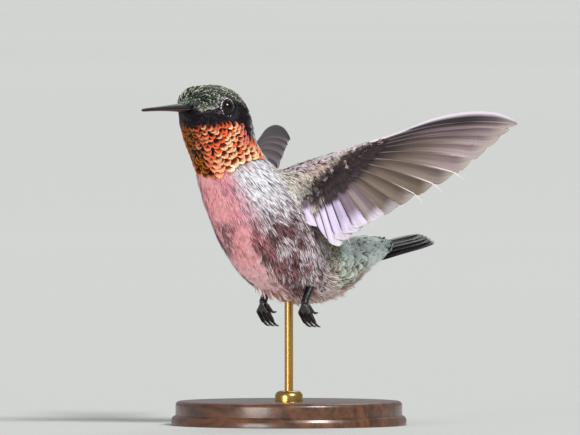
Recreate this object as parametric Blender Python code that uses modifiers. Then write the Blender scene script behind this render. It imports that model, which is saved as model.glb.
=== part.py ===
"""A male ruby-throated hummingbird, hovering, as a life-size display model on a small round stand.

Lengths are in millimetres and become metres when a mesh is made. +Z is up. The bird faces -Y and its own
left side is +X. BODY_LIFT is the height of the bird's own zero point, the middle of its breast, above the
underside of the stand, and the stand's middle is the origin.
"""

from math import cos, pi, radians, sin

import bmesh
import bpy
from mathutils import Matrix, Vector

MM = 0.001
GAP = 0.3  # clearance between touching pieces
BODY_LIFT = 35.5
BODY_SHIFT = -1.0  # along Y, so that the rod stands in the middle of the base

# Head, seen from above: it is turned a little to the bird's left about the neck.
HEAD_TURN = radians(12.0)
NECK_PIVOT_Y = -16.6
HEAD_CENTRE = Vector((0.0, -19.0, 23.4))

BILL_LENGTH = 14.7
BILL_BASE_Y = -28.3
BILL_Z = 24.0
BILL_HALF_WIDTH = 1.15
BILL_HALF_HEIGHT = 0.9
BILL_DROOP = -0.3

EYE_RADIUS = 1.75
EYE_FORWARD = 3.2
EYE_OUT = 4.2
EYE_RISE = 0.6

# Wings: the span runs back and out from the shoulder, and the chord hangs down from the leading edge.
SHOULDER = Vector((7.0, -6.2, 10.7))
WING_SPAN_WAY = Vector((0.542, 0.813, 0.21))
RIGHT_WING_DROP = 0.08  # the right wing is held this much lower, as a share of its length
WING_CHORD_WAY = Vector((0.10, 0.30, -0.95))
BLADE_THICKNESS = 0.55
BLADE_CAMBER = 1.3

TAIL_ROOT_Y = 24.2
TAIL_THICKNESS = 0.55

LEG_X = 5.5
TOE_SPACING = 1.2
CLAW_RADIUS = 0.3

BASE_RADIUS = 22.0
BASE_HEIGHT = 4.5
ROD_RADIUS = 0.8
COLLAR_RADIUS = 2.6
COLLAR_HEIGHT = 1.6

COLOURS = {  # base colour, roughness, metallic
    "crown_green": ((0.10, 0.14, 0.07), 0.5, 0.0),
    "gorget_red": ((0.75, 0.13, 0.04), 0.35, 0.4),
    "breast_white": ((0.72, 0.66, 0.68), 0.8, 0.0),
    "belly_grey": ((0.55, 0.42, 0.38), 0.8, 0.0),
    "rump_green": ((0.30, 0.38, 0.30), 0.6, 0.0),
    "wing_covert": ((0.16, 0.12, 0.10), 0.7, 0.0),
    "wing_feather": ((0.36, 0.30, 0.31), 0.5, 0.0),
    "tail_feather": ((0.05, 0.05, 0.06), 0.5, 0.0),
    "bill_black": ((0.03, 0.03, 0.035), 0.3, 0.0),
    "eye_black": ((0.012, 0.008, 0.006), 0.05, 0.0),
    "foot_black": ((0.02, 0.016, 0.016), 0.4, 0.0),
    "stand_wood": ((0.12, 0.06, 0.035), 0.4, 0.0),
    "stand_brass": ((0.70, 0.50, 0.22), 0.3, 1.0),
}


def clear_scene():
    for obj in list(bpy.data.objects):
        bpy.data.objects.remove(obj)


def new_collection(name):
    collection = bpy.data.collections.new(name)
    bpy.context.scene.collection.children.link(collection)
    return collection


def material(name):
    found = bpy.data.materials.get(name)
    if found:
        return found
    colour, roughness, metallic = COLOURS[name]
    made = bpy.data.materials.new(name)
    made.use_nodes = True
    shader = made.node_tree.nodes["Principled BSDF"]
    shader.inputs["Base Color"].default_value = (*colour, 1.0)
    shader.inputs["Roughness"].default_value = roughness
    shader.inputs["Metallic"].default_value = metallic
    made.diffuse_color = (*colour, 1.0)
    return made


def to_world(point):
    """A point of the bird, in millimetres, as metres in the stand's frame."""
    return Vector((point[0], point[1] + BODY_SHIFT, point[2] + BODY_LIFT)) * MM


def add_object(name, data, collection, finish):
    data.materials.append(material(finish))
    obj = bpy.data.objects.new(name, data)
    collection.objects.link(obj)
    return obj


def object_from_bmesh(name, bm, collection, finish, smooth_below=50.0):
    bmesh.ops.recalc_face_normals(bm, faces=bm.faces)
    mesh = bpy.data.meshes.new(name)
    bm.to_mesh(mesh)
    bm.free()
    mesh.shade_smooth()
    mesh.set_sharp_from_angle(angle=radians(smooth_below))
    return add_object(name, mesh, collection, finish)


def catmull(values, steps):
    """Every value (a list of equal-length tuples) with steps - 1 smooth ones between each pair."""
    found = []
    last = len(values) - 1
    for i in range(last):
        before, start = values[max(i - 1, 0)], values[i]
        end, after = values[i + 1], values[min(i + 2, last)]
        for j in range(steps):
            t = j / steps
            found.append(tuple(
                0.5 * (2 * b + (c - a) * t + (2 * a - 5 * b + 4 * c - d) * t**2 + (3 * b - a - 3 * c + d) * t**3)
                for a, b, c, d in zip(before, start, end, after)
            ))
    found.append(tuple(values[-1]))
    return found


def loft(name, rings, collection, finish):
    """A closed solid through rings of points, each ring flat and with the same count."""
    bm = bmesh.new()
    made = [[bm.verts.new(to_world(p)) for p in ring] for ring in rings]
    count = len(rings[0])
    for first, second in zip(made, made[1:]):
        for i in range(count):
            j = (i + 1) % count
            bm.faces.new((first[i], first[j], second[j], second[i]))
    bm.faces.new(made[0])
    bm.faces.new(made[-1])
    return object_from_bmesh(name, bm, collection, finish)


# ---------------------------------------------------------------------------------------------------------
# The body is one tube of oval rings along the backbone, parted by thin flat cuts.

RING_POINTS = 22
RING_STEPS = 2
# Each ring: y, z of its point on the back, y, z of its point on the breast, half width, and the share of the
# head's turn that it takes.
BODY_RINGS = (
    (-28.0, 25.8, -28.2, 22.6, 1.6, 1.0),  # round the bill
    (-26.9, 26.9, -27.5, 21.0, 2.9, 1.0),
    (-25.0, 27.7, -25.8, 19.4, 4.1, 1.0),
    (-22.7, 28.2, -24.7, 18.0, 5.1, 1.0),  # lores
    (-20.2, 28.3, -23.7, 16.7, 5.7, 1.0),  # eyes
    (-17.1, 27.9, -22.9, 15.4, 6.4, 1.0),
    (-14.2, 26.2, -22.1, 14.2, 6.6, 0.95),
    (-12.4, 23.7, -21.4, 13.0, 6.5, 0.85),  # nape
    (-11.3, 20.9, -20.7, 11.7, 6.4, 0.65),
    (-10.2, 18.2, -20.2, 10.2, 6.6, 0.4),  # neck
    (-7.6, 15.3, -19.7, 8.4, 7.4, 0.2),
    (-3.0, 12.2, -18.8, 6.1, 8.6, 0.05),  # shoulders
    (1.6, 8.6, -16.9, 2.5, 9.3, 0.0),
    (6.4, 4.7, -14.9, -1.2, 9.4, 0.0),
    (10.6, 1.0, -12.4, -4.8, 9.2, 0.0),
    (13.4, -1.4, -9.2, -8.1, 8.9, 0.0),
    (15.0, -1.8, -4.4, -11.1, 8.2, 0.0),  # belly
    (16.2, -1.4, 1.5, -12.7, 7.4, 0.0),
    (17.4, -0.9, 8.0, -12.6, 6.6, 0.0),
    (18.4, -0.4, 13.6, -10.6, 5.7, 0.0),  # vent
    (20.4, -0.2, 18.0, -8.1, 4.9, 0.0),
    (23.0, -0.5, 22.0, -6.0, 4.0, 0.0),
    (25.8, -1.0, 25.4, -4.6, 3.3, 0.0),  # tips of the tail coverts
)
# Name, first and last ring, and finish of each piece of the tube.
BODY_PIECES = (
    ("head", 0, 7, "crown_green"),
    ("neck", 7, 10, "gorget_red"),
    ("breast", 10, 14, "breast_white"),
    ("belly", 14, 18, "belly_grey"),
    ("rump", 18, 22, "rump_green"),
)


def turned_with_head(point, share):
    """The point turned about the upright axis through the neck, by a share of the head's turn."""
    pivot = Vector((0.0, NECK_PIVOT_Y, 0.0))
    return Matrix.Rotation(HEAD_TURN * share, 3, "Z") @ (Vector(point) - pivot) + pivot


def body_ring(values, slide=0.0):
    """The points of one oval ring, moved by slide square to its plane, towards the tail."""
    back_y, back_z, breast_y, breast_z, half_width, share = values
    back = Vector((0.0, back_y, back_z))
    breast = Vector((0.0, breast_y, breast_z))
    across = Vector((half_width, 0.0, 0.0))
    reach = (back - breast) / 2
    middle = (back + breast) / 2 + reach.cross(across).normalized() * slide
    points = []
    for i in range(RING_POINTS):
        angle = 2 * pi * i / RING_POINTS
        points.append(turned_with_head(middle + across * cos(angle) + reach * sin(angle), share))
    return points


def make_body(collection):
    rings = catmull(BODY_RINGS, RING_STEPS)
    made = {}
    for name, first, last, finish in BODY_PIECES:
        span = rings[first * RING_STEPS : last * RING_STEPS + 1]
        slides = [0.0] * len(span)
        slides[0] = GAP / 2 if first else 0.0
        slides[-1] = -GAP / 2 if last < len(BODY_RINGS) - 1 else 0.0
        rows = [body_ring(values, slide) for values, slide in zip(span, slides)]
        made[name] = loft(name, rows, collection, finish)
    return made


def cut_with(obj, cutter):
    cut = obj.modifiers.new("cut_" + cutter.name, "BOOLEAN")
    cut.operation = "DIFFERENCE"
    cut.solver = "EXACT"
    cut.object = cutter


def mark_cutter(obj):
    obj.hide_render = True
    obj.display_type = "WIRE"


# ---------------------------------------------------------------------------------------------------------
# Eyes: dark balls, each in a round socket.


def ball(name, middle, radius, collection, finish):
    bm = bmesh.new()
    bmesh.ops.create_uvsphere(bm, u_segments=16, v_segments=10, radius=radius * MM)
    bmesh.ops.translate(bm, verts=bm.verts, vec=to_world(middle))
    return object_from_bmesh(name, bm, collection, finish)


def make_eyes(head, collection, cutters):
    for side, name in ((1, "left"), (-1, "right")):
        place = HEAD_CENTRE + Vector((side * EYE_OUT, -EYE_FORWARD, EYE_RISE))
        middle = turned_with_head(place, 1.0)
        ball("eye_" + name, middle, EYE_RADIUS, collection, "eye_black")
        socket = ball("socket_" + name, middle, EYE_RADIUS + GAP, cutters, "eye_black")
        mark_cutter(socket)
        cut_with(head, socket)


# ---------------------------------------------------------------------------------------------------------
# Bill: an upper and a lower half, each a slim half-round that tapers to the tip.

BILL_RINGS = 9
BILL_ARC_POINTS = 8
BILL_SPLIT = 0.12  # half of the slit between the two halves
BILL_TIP_SHARE = 0.3  # size of the tip as a share of the base's
BILL_TAPER = 1.6
LOWER_SHARE = 0.8  # depth of the lower half as a share of the upper one's


def bill_taper(t):
    """Share of the base's size at t from base to tip: quick at first, then slow."""
    return BILL_TIP_SHARE + (1 - BILL_TIP_SHARE) * (1 - t) ** BILL_TAPER


def bill_half(name, up, height, collection):
    rows = []
    for i in range(BILL_RINGS):
        t = i / (BILL_RINGS - 1)
        size = bill_taper(t)
        y = BILL_BASE_Y - GAP - t * BILL_LENGTH
        droop = BILL_DROOP * t**2
        row = []
        for j in range(BILL_ARC_POINTS + 1):
            angle = pi * j / BILL_ARC_POINTS
            x = BILL_HALF_WIDTH * size * cos(angle)
            z = BILL_Z + droop + up * (BILL_SPLIT + height * size * sin(angle))
            row.append(turned_with_head((x, y, z), 1.0))
        rows.append(row)
    return loft(name, rows, collection, "bill_black")


def make_bill(collection):
    bill_half("bill_upper", 1, BILL_HALF_HEIGHT, collection)
    bill_half("bill_lower", -1, BILL_HALF_HEIGHT * LOWER_SHARE, collection)


# ---------------------------------------------------------------------------------------------------------
# Wings. A wing is drawn flat, as (s, k): s along the span from the shoulder, k towards the trailing edge.

# Each ring of the arm: s, k of its middle, half its chord and half its thickness.
ARM_RINGS = ((-2.4, 1.1, 2.8, 2.0), (2.0, 0.8, 3.3, 2.1), (6.0, -0.1, 2.9, 1.7), (11.2, -1.5, 1.9, 1.1))
HAND_RINGS = ((11.5, -1.6, 1.85, 1.05), (14.2, -2.3, 1.4, 0.8), (17.0, -3.1, 0.8, 0.5))
ARM_POINTS = 14
ARM_STEPS = 2

PRIMARIES = 10
SECONDARIES = 6
# The line of the feather tips, from the innermost secondary to the outermost primary.
TIP_LINE = (
    (3.2, 10.2), (4.9, 14.6), (8.2, 13.9), (12.5, 12.2), (18.0, 10.9), (23.4, 9.4),
    (30.6, 6.4), (37.8, 3.2), (42.2, 1.2), (45.2, 0.1),
)
# The line of the feather roots, just behind the arm and then round the end of the hand.
ROOT_LINE = ((3.0, 4.4), (6.2, 3.15), (9.2, 1.75), (11.8, 0.6), (14.4, -0.45), (16.9, -1.85), (17.7, -3.1))
LEADING_ROOT = (17.7, -3.75)
LEADING_TIP = (44.8, -2.0)
LEADING_BOW = (31.0, -7.7)
WING_LENGTH = 45.2
FRONT_EDGE = -4.0  # the front edge of the blade, as k
WIDEST_CHORD = 18.0
TIP_BEND = 1.6  # how far the tip bends to the upper side
BOW = 2.6  # how far the outermost shaft bends towards the leading edge
BOW_FROM = 0.3  # share of the feathers, from the body out, that stay straight
NOTCH = 0.955  # length of the blade between two feather tips, as a share of theirs
BLADE_PARTING = (0.56, 0.36)  # where the two blades end, in feathers before the first primary
BLADE_ROWS = 8


class WingPlane:
    """Places the flat drawing of one wing: side is 1 for the left wing and -1 for the right one."""

    def __init__(self, side):
        drop = RIGHT_WING_DROP if side < 0 else 0.0
        self.span = (WING_SPAN_WAY - Vector((0, 0, drop))).normalized()
        self.chord = WING_CHORD_WAY.normalized()
        self.under = self.chord.cross(self.span).normalized()  # out of the underside of the wing
        self.side = side

    def at(self, s, k, out=0.0):
        point = SHOULDER + self.span * s + self.chord * k + self.under * out
        return Vector((point.x * self.side, point.y, point.z))


def blade_rise(s, k):
    """The blade's hollow: the trailing edge curls to the underside and the tip bends to the upper side."""
    return BLADE_CAMBER * ((k - FRONT_EDGE) / WIDEST_CHORD) ** 2 - TIP_BEND * (s / WING_LENGTH) ** 3


def arm_loft(name, rings, plane, collection, finish, grow=0.0):
    rows = []
    for s, k, half_chord, half_thick in catmull(rings, ARM_STEPS):
        row = []
        for i in range(ARM_POINTS):
            angle = 2 * pi * i / ARM_POINTS
            across = (half_chord + grow) * cos(angle)
            row.append(plane.at(s, k + across, (half_thick + grow) * sin(angle)))
        rows.append(row)
    return loft(name, rows, collection, finish)


def along_line(line, share):
    """The point at a share of the way through a line's points, on a smooth curve."""
    steps = 8
    fine = catmull(line, steps)
    place = share * (len(fine) - 1)
    i = min(int(place), len(fine) - 2)
    return tuple(a + (b - a) * (place - i) for a, b in zip(fine[i], fine[i + 1]))


def shaft(root, tip, bow, length=1.0):
    """Points along one bent shaft, drawn flat. bow moves its middle towards the leading edge."""
    points = []
    for j in range(BLADE_ROWS):
        t = length * j / (BLADE_ROWS - 1)
        s = root[0] + (tip[0] - root[0]) * t
        k = root[1] + (tip[1] - root[1]) * t - 4 * bow * t * (1 - t)
        points.append((s, k))
    return points


def wing_shafts(places):
    """Columns of the blade: shafts at the whole places, counted outward, and shorter notches between them."""
    columns = []
    for place in places:
        share = place / (PRIMARIES + SECONDARIES - 1)
        bow = BOW * max(0.0, (share - BOW_FROM) / (1 - BOW_FROM)) ** 1.5
        length = 1.0 if place == int(place) else NOTCH
        columns.append(shaft(along_line(ROOT_LINE, share), along_line(TIP_LINE, share), bow, length))
    return columns


def leading_edge():
    """The outermost primary's front edge, a Bezier curve over the end of the hand."""
    points = []
    for j in range(BLADE_ROWS):
        t = j / (BLADE_ROWS - 1)
        points.append(tuple(
            a * (1 - t) ** 2 + 2 * b * t * (1 - t) + c * t**2
            for a, b, c in zip(LEADING_ROOT, LEADING_BOW, LEADING_TIP)
        ))
    return points


def blade(name, columns, place, thickness, collection, finish):
    """A thin closed sheet through columns of points, made an even thickness with Solidify."""
    bm = bmesh.new()
    grid = [[bm.verts.new(to_world(place(p))) for p in column] for column in columns]
    for first, second in zip(grid, grid[1:]):
        for j in range(len(first) - 1):
            bm.faces.new((first[j], first[j + 1], second[j + 1], second[j]))
    obj = object_from_bmesh(name, bm, collection, finish)
    solid = obj.modifiers.new("thickness", "SOLIDIFY")
    solid.thickness = thickness * MM
    solid.offset = 0.0
    return obj


def make_wing(side, name, breast, collection, cutters):
    plane = WingPlane(side)

    def on_blade(point):
        s, k = point
        return plane.at(s, k, blade_rise(s, k))

    arm_loft(f"wing_{name}_arm", ARM_RINGS, plane, collection, "wing_covert")
    arm_loft(f"wing_{name}_hand", HAND_RINGS, plane, collection, "wing_covert")
    socket = arm_loft(f"arm_socket_{name}", ARM_RINGS[:2], plane, cutters, "wing_covert", GAP)
    mark_cutter(socket)
    cut_with(breast, socket)
    last = PRIMARIES + SECONDARIES - 1
    inner = wing_shafts([i / 2 for i in range(2 * SECONDARIES - 1)] + [SECONDARIES - BLADE_PARTING[0]])
    outer = wing_shafts([SECONDARIES - BLADE_PARTING[1]] + [i / 2 for i in range(2 * SECONDARIES, 2 * last + 1)])
    outer.append(leading_edge())
    blade(f"wing_{name}_secondaries", inner, on_blade, BLADE_THICKNESS, collection, "wing_feather")
    blade(f"wing_{name}_primaries", outer, on_blade, BLADE_THICKNESS, collection, "wing_feather")


# ---------------------------------------------------------------------------------------------------------
# Tail: ten feathers in a shallow arch, with a fork.

TAIL_FEATHERS = 10
TAIL_ROWS = 7
TAIL_HALF_ROOT = 2.4
TAIL_HALF_TIP = 3.4
TAIL_FORK = 1.6
TAIL_TIP_Y = 35.2
TAIL_ROOT_Z = -1.9
TAIL_RISE = 2.1
TAIL_ARCH = 1.7  # how much lower the outer edges lie than the middle
TAIL_NOTCH = 0.95
TAIL_SWING = radians(8.0)  # to the bird's left, about the root
SLOT_WIDENING = 1.2
SLOT_REACH = (-0.03, 0.3)  # where the rump's slot starts and ends along the tail, as t


def tail_point(across, t, tip_y):
    """A point of the tail: across is -1 to 1 from the right edge to the left one, t is 0 to 1 from the root."""
    half = TAIL_HALF_ROOT + (TAIL_HALF_TIP - TAIL_HALF_ROOT) * t
    z = TAIL_ROOT_Z + TAIL_RISE * t - TAIL_ARCH * across**2
    flat = Vector((half * across, (tip_y - TAIL_ROOT_Y) * t, z))
    turned = Matrix.Rotation(-TAIL_SWING * t, 3, "Z") @ flat
    return turned + Vector((0.0, TAIL_ROOT_Y, 0.0))


def make_tail(rump, collection, cutters):
    columns = []
    slot_columns = []
    for i in range(2 * TAIL_FEATHERS - 1):
        across = i / (TAIL_FEATHERS - 1) - 1
        tip_y = TAIL_TIP_Y - TAIL_FORK * (1 - abs(across) ** 1.5)
        length = TAIL_NOTCH if i % 2 else 1.0
        columns.append([tail_point(across, length * j / (TAIL_ROWS - 1), tip_y) for j in range(TAIL_ROWS)])
        slot_columns.append([tail_point(across * SLOT_WIDENING, t, tip_y) for t in SLOT_REACH])
    blade("tail", columns, Vector, TAIL_THICKNESS, collection, "tail_feather")
    slot = blade("tail_slot", slot_columns, Vector, TAIL_THICKNESS + 2 * GAP, cutters, "tail_feather")
    mark_cutter(slot)
    cut_with(rump, slot)


# ---------------------------------------------------------------------------------------------------------
# Legs and feet, hanging half closed under the belly.

SHIN = ((1.4, -9.4), (0.1, -11.6), (-0.4, -12.8))  # (y, z): in the plumage, heel, root of the toes
SHIN_RADII = (0.85, 0.75, 0.8)
TOE_RADII = (0.5, 0.5, 0.42)
FRONT_TOE = ((-0.3, -14.4), (0.8, -15.9))
BACK_TOE = ((0.7, -13.3), (1.5, -14.1))
FRONT_CLAW = ((1.05, -16.25), (1.8, -16.9), (2.7, -17.1))
BACK_CLAW = ((1.85, -14.3), (2.6, -14.6), (3.3, -14.4))
CLAW_SHRINK = (1.0, 0.75, 0.3)


def tube(name, points, radii, collection, finish, sides=3):
    """A round bent piece with its own radius at each point and closed ends."""
    curve = bpy.data.curves.new(name, "CURVE")
    curve.dimensions = "3D"
    curve.bevel_depth = MM
    curve.bevel_resolution = sides - 1
    curve.use_fill_caps = True
    line = curve.splines.new("POLY")
    line.points.add(len(points) - 1)
    for target, point, radius in zip(line.points, points, radii):
        target.co = (*to_world(point), 1.0)
        target.radius = radius
    return add_object(name, curve, collection, finish)


def as_mesh(obj):
    """The curve object's own surface as a mesh object that a Boolean can take."""
    graph = bpy.context.evaluated_depsgraph_get()
    mesh = bpy.data.meshes.new_from_object(obj.evaluated_get(graph))
    bm = bmesh.new()
    bm.from_mesh(mesh)
    bmesh.ops.remove_doubles(bm, verts=bm.verts, dist=1e-6)
    bmesh.ops.recalc_face_normals(bm, faces=bm.faces)
    bm.to_mesh(mesh)
    bm.free()
    mesh.shade_smooth()
    made = bpy.data.objects.new(obj.name + "_mesh", mesh)
    made.matrix_world = obj.matrix_world
    obj.users_collection[0].objects.link(made)
    name = obj.name
    bpy.data.objects.remove(obj)
    made.name = name
    return made


def joined_tubes(name, tubes, collection, finish, cutters):
    """Several tubes united into one closed body."""
    pieces = [as_mesh(tube(f"{name}_{i}", points, radii, cutters, finish))
              for i, (points, radii) in enumerate(tubes)]
    body = pieces[0]
    cutters.objects.unlink(body)
    collection.objects.link(body)
    body.name = name
    for piece in pieces[1:]:
        mark_cutter(piece)
        join = body.modifiers.new("join_" + piece.name, "BOOLEAN")
        join.operation = "UNION"
        join.solver = "EXACT"
        join.object = piece
    return body


def make_leg(side, name, belly, collection, cutters):
    def flat(points, x):
        return [(x, y, z) for y, z in points]

    middle = side * LEG_X
    top = flat(SHIN[:2], middle)
    tube(f"leg_{name}", top, SHIN_RADII[:2], collection, "foot_black", 4)
    socket = as_mesh(tube(f"leg_socket_{name}", top, [r + GAP for r in SHIN_RADII[:2]], cutters, "foot_black", 4))
    mark_cutter(socket)
    cut_with(belly, socket)

    heel = Vector(flat([SHIN[1]], middle)[0])
    root = Vector(flat([SHIN[2]], middle)[0])
    heel += (root - heel).normalized() * GAP
    toes = [([heel, root], (SHIN_RADII[1], SHIN_RADII[2]))]
    claws = []
    for i, toe in enumerate(("inner", "middle", "outer")):
        x = middle + side * (i - 1) * TOE_SPACING
        joints = [root] + flat(FRONT_TOE, x)
        toes.append((joints, TOE_RADII))
        claws.append((toe, flat(FRONT_CLAW, x)))
    toes.append(([root] + flat(BACK_TOE, middle), TOE_RADII))
    claws.append(("hind", flat(BACK_CLAW, middle)))
    joined_tubes(f"foot_{name}", toes, collection, "foot_black", cutters)
    for toe, points in claws:
        radii = [CLAW_RADIUS * shrink for shrink in CLAW_SHRINK]
        tube(f"claw_{name}_{toe}", points, radii, collection, "foot_black")


# ---------------------------------------------------------------------------------------------------------
# Stand: a turned wooden disc, a brass collar and one brass rod up into the plumage behind the legs.

ROD_TOP = -9.4  # inside the belly's socket, in the bird's own heights
BASE_BEAD = 0.8  # rounding of the upper rim
BEAD_STEPS = 4
BASE_COVE = (0.2, 1.9, 1.5, 1.1)  # depth of the cove above the foot, and its three heights
COLLAR_FOOT = 0.5
COLLAR_TOP_SHARE = 0.6


def turned(name, profile, steps, collection, finish):
    """A solid of revolution about the origin's Z axis, from (radius, height) down the outer side."""
    bm = bmesh.new()
    verts = [bm.verts.new((r * MM, 0.0, z * MM)) for r, z in profile]
    for first, second in zip(verts, verts[1:]):
        bm.edges.new((first, second))
    mesh = bpy.data.meshes.new(name)
    bm.to_mesh(mesh)
    bm.free()
    obj = add_object(name, mesh, collection, finish)
    screw = obj.modifiers.new("turn", "SCREW")
    screw.axis = "Z"
    screw.steps = screw.render_steps = steps
    screw.use_merge_vertices = True
    screw.merge_threshold = 0.00001
    screw.use_smooth_shade = True
    return obj


def make_stand(belly, collection, cutters):
    inner = BASE_RADIUS - 2 * BASE_BEAD
    disc = [(0.0, BASE_HEIGHT), (inner, BASE_HEIGHT)]
    for i in range(1, BEAD_STEPS + 1):
        angle = pi / 2 * i / BEAD_STEPS
        disc.append((inner + BASE_BEAD * sin(angle), BASE_HEIGHT - BASE_BEAD * (1 - cos(angle))))
    depth, high, middle, low = BASE_COVE
    disc += [(BASE_RADIUS - BASE_BEAD, high), (BASE_RADIUS - depth, middle), (BASE_RADIUS, low)]
    disc += [(BASE_RADIUS, 0.0), (0.0, 0.0)]
    turned("stand_base", disc, 44, collection, "stand_wood")

    low = BASE_HEIGHT + GAP
    high = low + COLLAR_HEIGHT
    collar = [(ROD_RADIUS + GAP, high), (COLLAR_RADIUS * COLLAR_TOP_SHARE, high)]
    collar += [(COLLAR_RADIUS, low + COLLAR_FOOT), (COLLAR_RADIUS, low), (ROD_RADIUS + GAP, low)]
    collar.append(collar[0])
    turned("stand_collar", collar, 24, collection, "stand_brass")

    top = BODY_LIFT + ROD_TOP
    rod = [(0.0, top), (ROD_RADIUS, top), (ROD_RADIUS, low), (0.0, low)]
    turned("stand_rod", rod, 20, collection, "stand_brass")

    hole = [(0.0, top + GAP), (ROD_RADIUS + GAP, top + GAP), (ROD_RADIUS + GAP, low), (0.0, low)]
    cutter = turned("rod_socket", hole, 20, cutters, "stand_brass")
    mark_cutter(cutter)
    cut_with(belly, cutter)


def main():
    clear_scene()
    bird = new_collection("hummingbird")
    cutters = new_collection("cutters")
    body = make_body(bird)
    make_eyes(body["head"], bird, cutters)
    make_bill(bird)
    for side, name in ((1, "left"), (-1, "right")):
        make_wing(side, name, body["breast"], bird, cutters)
        make_leg(side, name, body["belly"], bird, cutters)
    make_tail(body["rump"], bird, cutters)
    make_stand(body["belly"], bird, cutters)


main()
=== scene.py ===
"""A male ruby-throated hummingbird, hovering: a life-size display model on a small wooden stand.

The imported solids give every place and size. Skin, eyes, bill, feet, feathers and stand are dressed over
them, one section after another, in the order in which a maker would put the model together. Meshes are
worked out in millimetres and become metres when they are made into objects.
"""

import itertools
import math

import bpy
import numpy as np
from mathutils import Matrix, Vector
from mathutils.bvhtree import BVHTree
from mathutils.kdtree import KDTree


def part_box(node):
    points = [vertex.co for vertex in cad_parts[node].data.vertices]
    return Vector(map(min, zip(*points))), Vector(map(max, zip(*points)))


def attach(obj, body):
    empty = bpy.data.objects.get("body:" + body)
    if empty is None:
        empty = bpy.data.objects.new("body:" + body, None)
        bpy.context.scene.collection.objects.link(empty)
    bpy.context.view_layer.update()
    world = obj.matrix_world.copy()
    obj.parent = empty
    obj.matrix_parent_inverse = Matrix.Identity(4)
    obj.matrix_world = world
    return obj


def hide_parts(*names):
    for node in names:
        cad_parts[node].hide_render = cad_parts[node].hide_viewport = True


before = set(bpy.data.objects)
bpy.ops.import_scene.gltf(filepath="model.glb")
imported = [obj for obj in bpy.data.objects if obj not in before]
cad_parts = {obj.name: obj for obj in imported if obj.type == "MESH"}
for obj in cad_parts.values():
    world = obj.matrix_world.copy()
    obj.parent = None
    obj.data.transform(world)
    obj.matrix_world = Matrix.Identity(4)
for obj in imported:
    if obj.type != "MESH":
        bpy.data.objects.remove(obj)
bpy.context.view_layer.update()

# -----------------------------------------------------------------------------------------------------------
# The display room: a wide pale table top under three soft lamps, and the camera. The light of the room fills
# the shadows. Nothing here belongs to the model.

MM = 0.001
VIEW_TURN = math.radians(45.0)
VIEW_RISE = math.radians(1.0)
VIEW_WIDTH = 108.4  # millimetres from side to side of the view, at the bird
VIEW_CENTRE = (0.15, 0.15, 38.8)
LENS = 1000.0
SENSOR = 36.0
CLIP = (0.01, 60.0)  # nearest and farthest place in sight, in metres
TABLE_RINGS = (300.0, 2500.0, 30000.0)
TABLE_STEPS = 96
SHARP_EDGE = math.radians(35)


def srgb(red, green, blue):
    """A linear colour from the 0 to 255 values a paint chart gives."""
    values = np.array((red, green, blue), float) / 255
    return np.where(values <= 0.04045, values / 12.92, ((values + 0.055) / 1.055) ** 2.4)


class Nodes:
    """Adds nodes to a shader tree. Each call returns the output that the next node takes."""

    def __init__(self, tree):
        self.tree = tree

    def add(self, kind, inputs=(), output=0, **settings):
        node = self.tree.nodes.new(kind)
        for key, value in settings.items():
            setattr(node, key, value)
        for socket, given in dict(inputs).items():
            if isinstance(given, bpy.types.NodeSocket):
                self.tree.links.new(given, node.inputs[socket])
            else:
                node.inputs[socket].default_value = given
        return node.outputs[output]

    def noise(self, vector, scale, detail=2.0, **more):
        given = {"Vector": vector, "Scale": scale, "Detail": detail, **more}
        return self.add("ShaderNodeTexNoise", given, "Fac")

    def spread(self, value, low, high, to_low, to_high):
        """A value moved from one range to another and held inside it."""
        ends = {"From Min": low, "From Max": high, "To Min": to_low, "To Max": to_high}
        return self.add("ShaderNodeMapRange", {"Value": value, **ends}, "Result")

    def mixed(self, share, first, second):
        given = {"Factor": share, "A": (*srgb(*first), 1), "B": (*srgb(*second), 1)}
        return self.add("ShaderNodeMix", given, "Result", data_type="RGBA")

    def darkened(self, colour, shade):
        given = {"Factor": 1.0, "A": colour, "B": shade}
        return self.add("ShaderNodeMix", given, "Result", data_type="RGBA", blend_type="MULTIPLY")


class Finish(Nodes):
    """A material under way, with constants on its shader's own sockets."""

    def __init__(self, name, constants):
        self.material = bpy.data.materials.new(name)
        self.material.use_nodes = True
        super().__init__(self.material.node_tree)
        self.shader = self.tree.nodes["Principled BSDF"]
        for socket, value in constants.items():
            self.shader.inputs[socket].default_value = value

    def place(self):
        return self.add("ShaderNodeTexCoord", output="Object")

    def painted(self, name, output="Color"):
        """What is painted on the points of the mesh under a name."""
        return self.add("ShaderNodeAttribute", output=output, attribute_name=name)

    def feed(self, socket, value):
        self.tree.links.new(value, self.shader.inputs[socket])

    def emboss(self, height, strength, depth):
        """Relief from a height, with the depth of a full step in metres."""
        given = {"Height": height, "Strength": strength, "Distance": depth}
        self.feed("Normal", self.add("ShaderNodeBump", given, "Normal"))


def link_object(name, data):
    obj = bpy.data.objects.new(name, data)
    bpy.context.scene.collection.objects.link(obj)
    return obj


def object_from(name, points, faces):
    """A smooth mesh object in the row frame from points in millimetres."""
    mesh = bpy.data.meshes.new(name)
    mesh.from_pydata([tuple(p) for p in np.asarray(points, float) * MM], [], faces)
    mesh.shade_smooth()
    return link_object(name, mesh)


def turned(name, profile, steps):
    """A solid of revolution about the stand's upright axis, from (radius, height) down the outer side."""
    angles = np.arange(steps) * 2 * math.pi / steps
    points, faces, rows = [], [], []
    for radius, height in profile:
        if radius == 0:
            rows.append([len(points)] * steps)
            points.append((0, 0, height))
        else:
            rows.append(list(range(len(points), len(points) + steps)))
            points += [(radius * math.cos(a), radius * math.sin(a), height) for a in angles]
    for upper, lower in zip(rows, rows[1:]):
        for i in range(steps):
            j = (i + 1) % steps
            corners = list(dict.fromkeys((upper[i], lower[i], lower[j], upper[j])))
            if len(corners) > 2:
                faces.append(corners)
    obj = object_from(name, points, faces)
    obj.data.set_sharp_from_angle(angle=SHARP_EDGE)
    return obj


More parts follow.
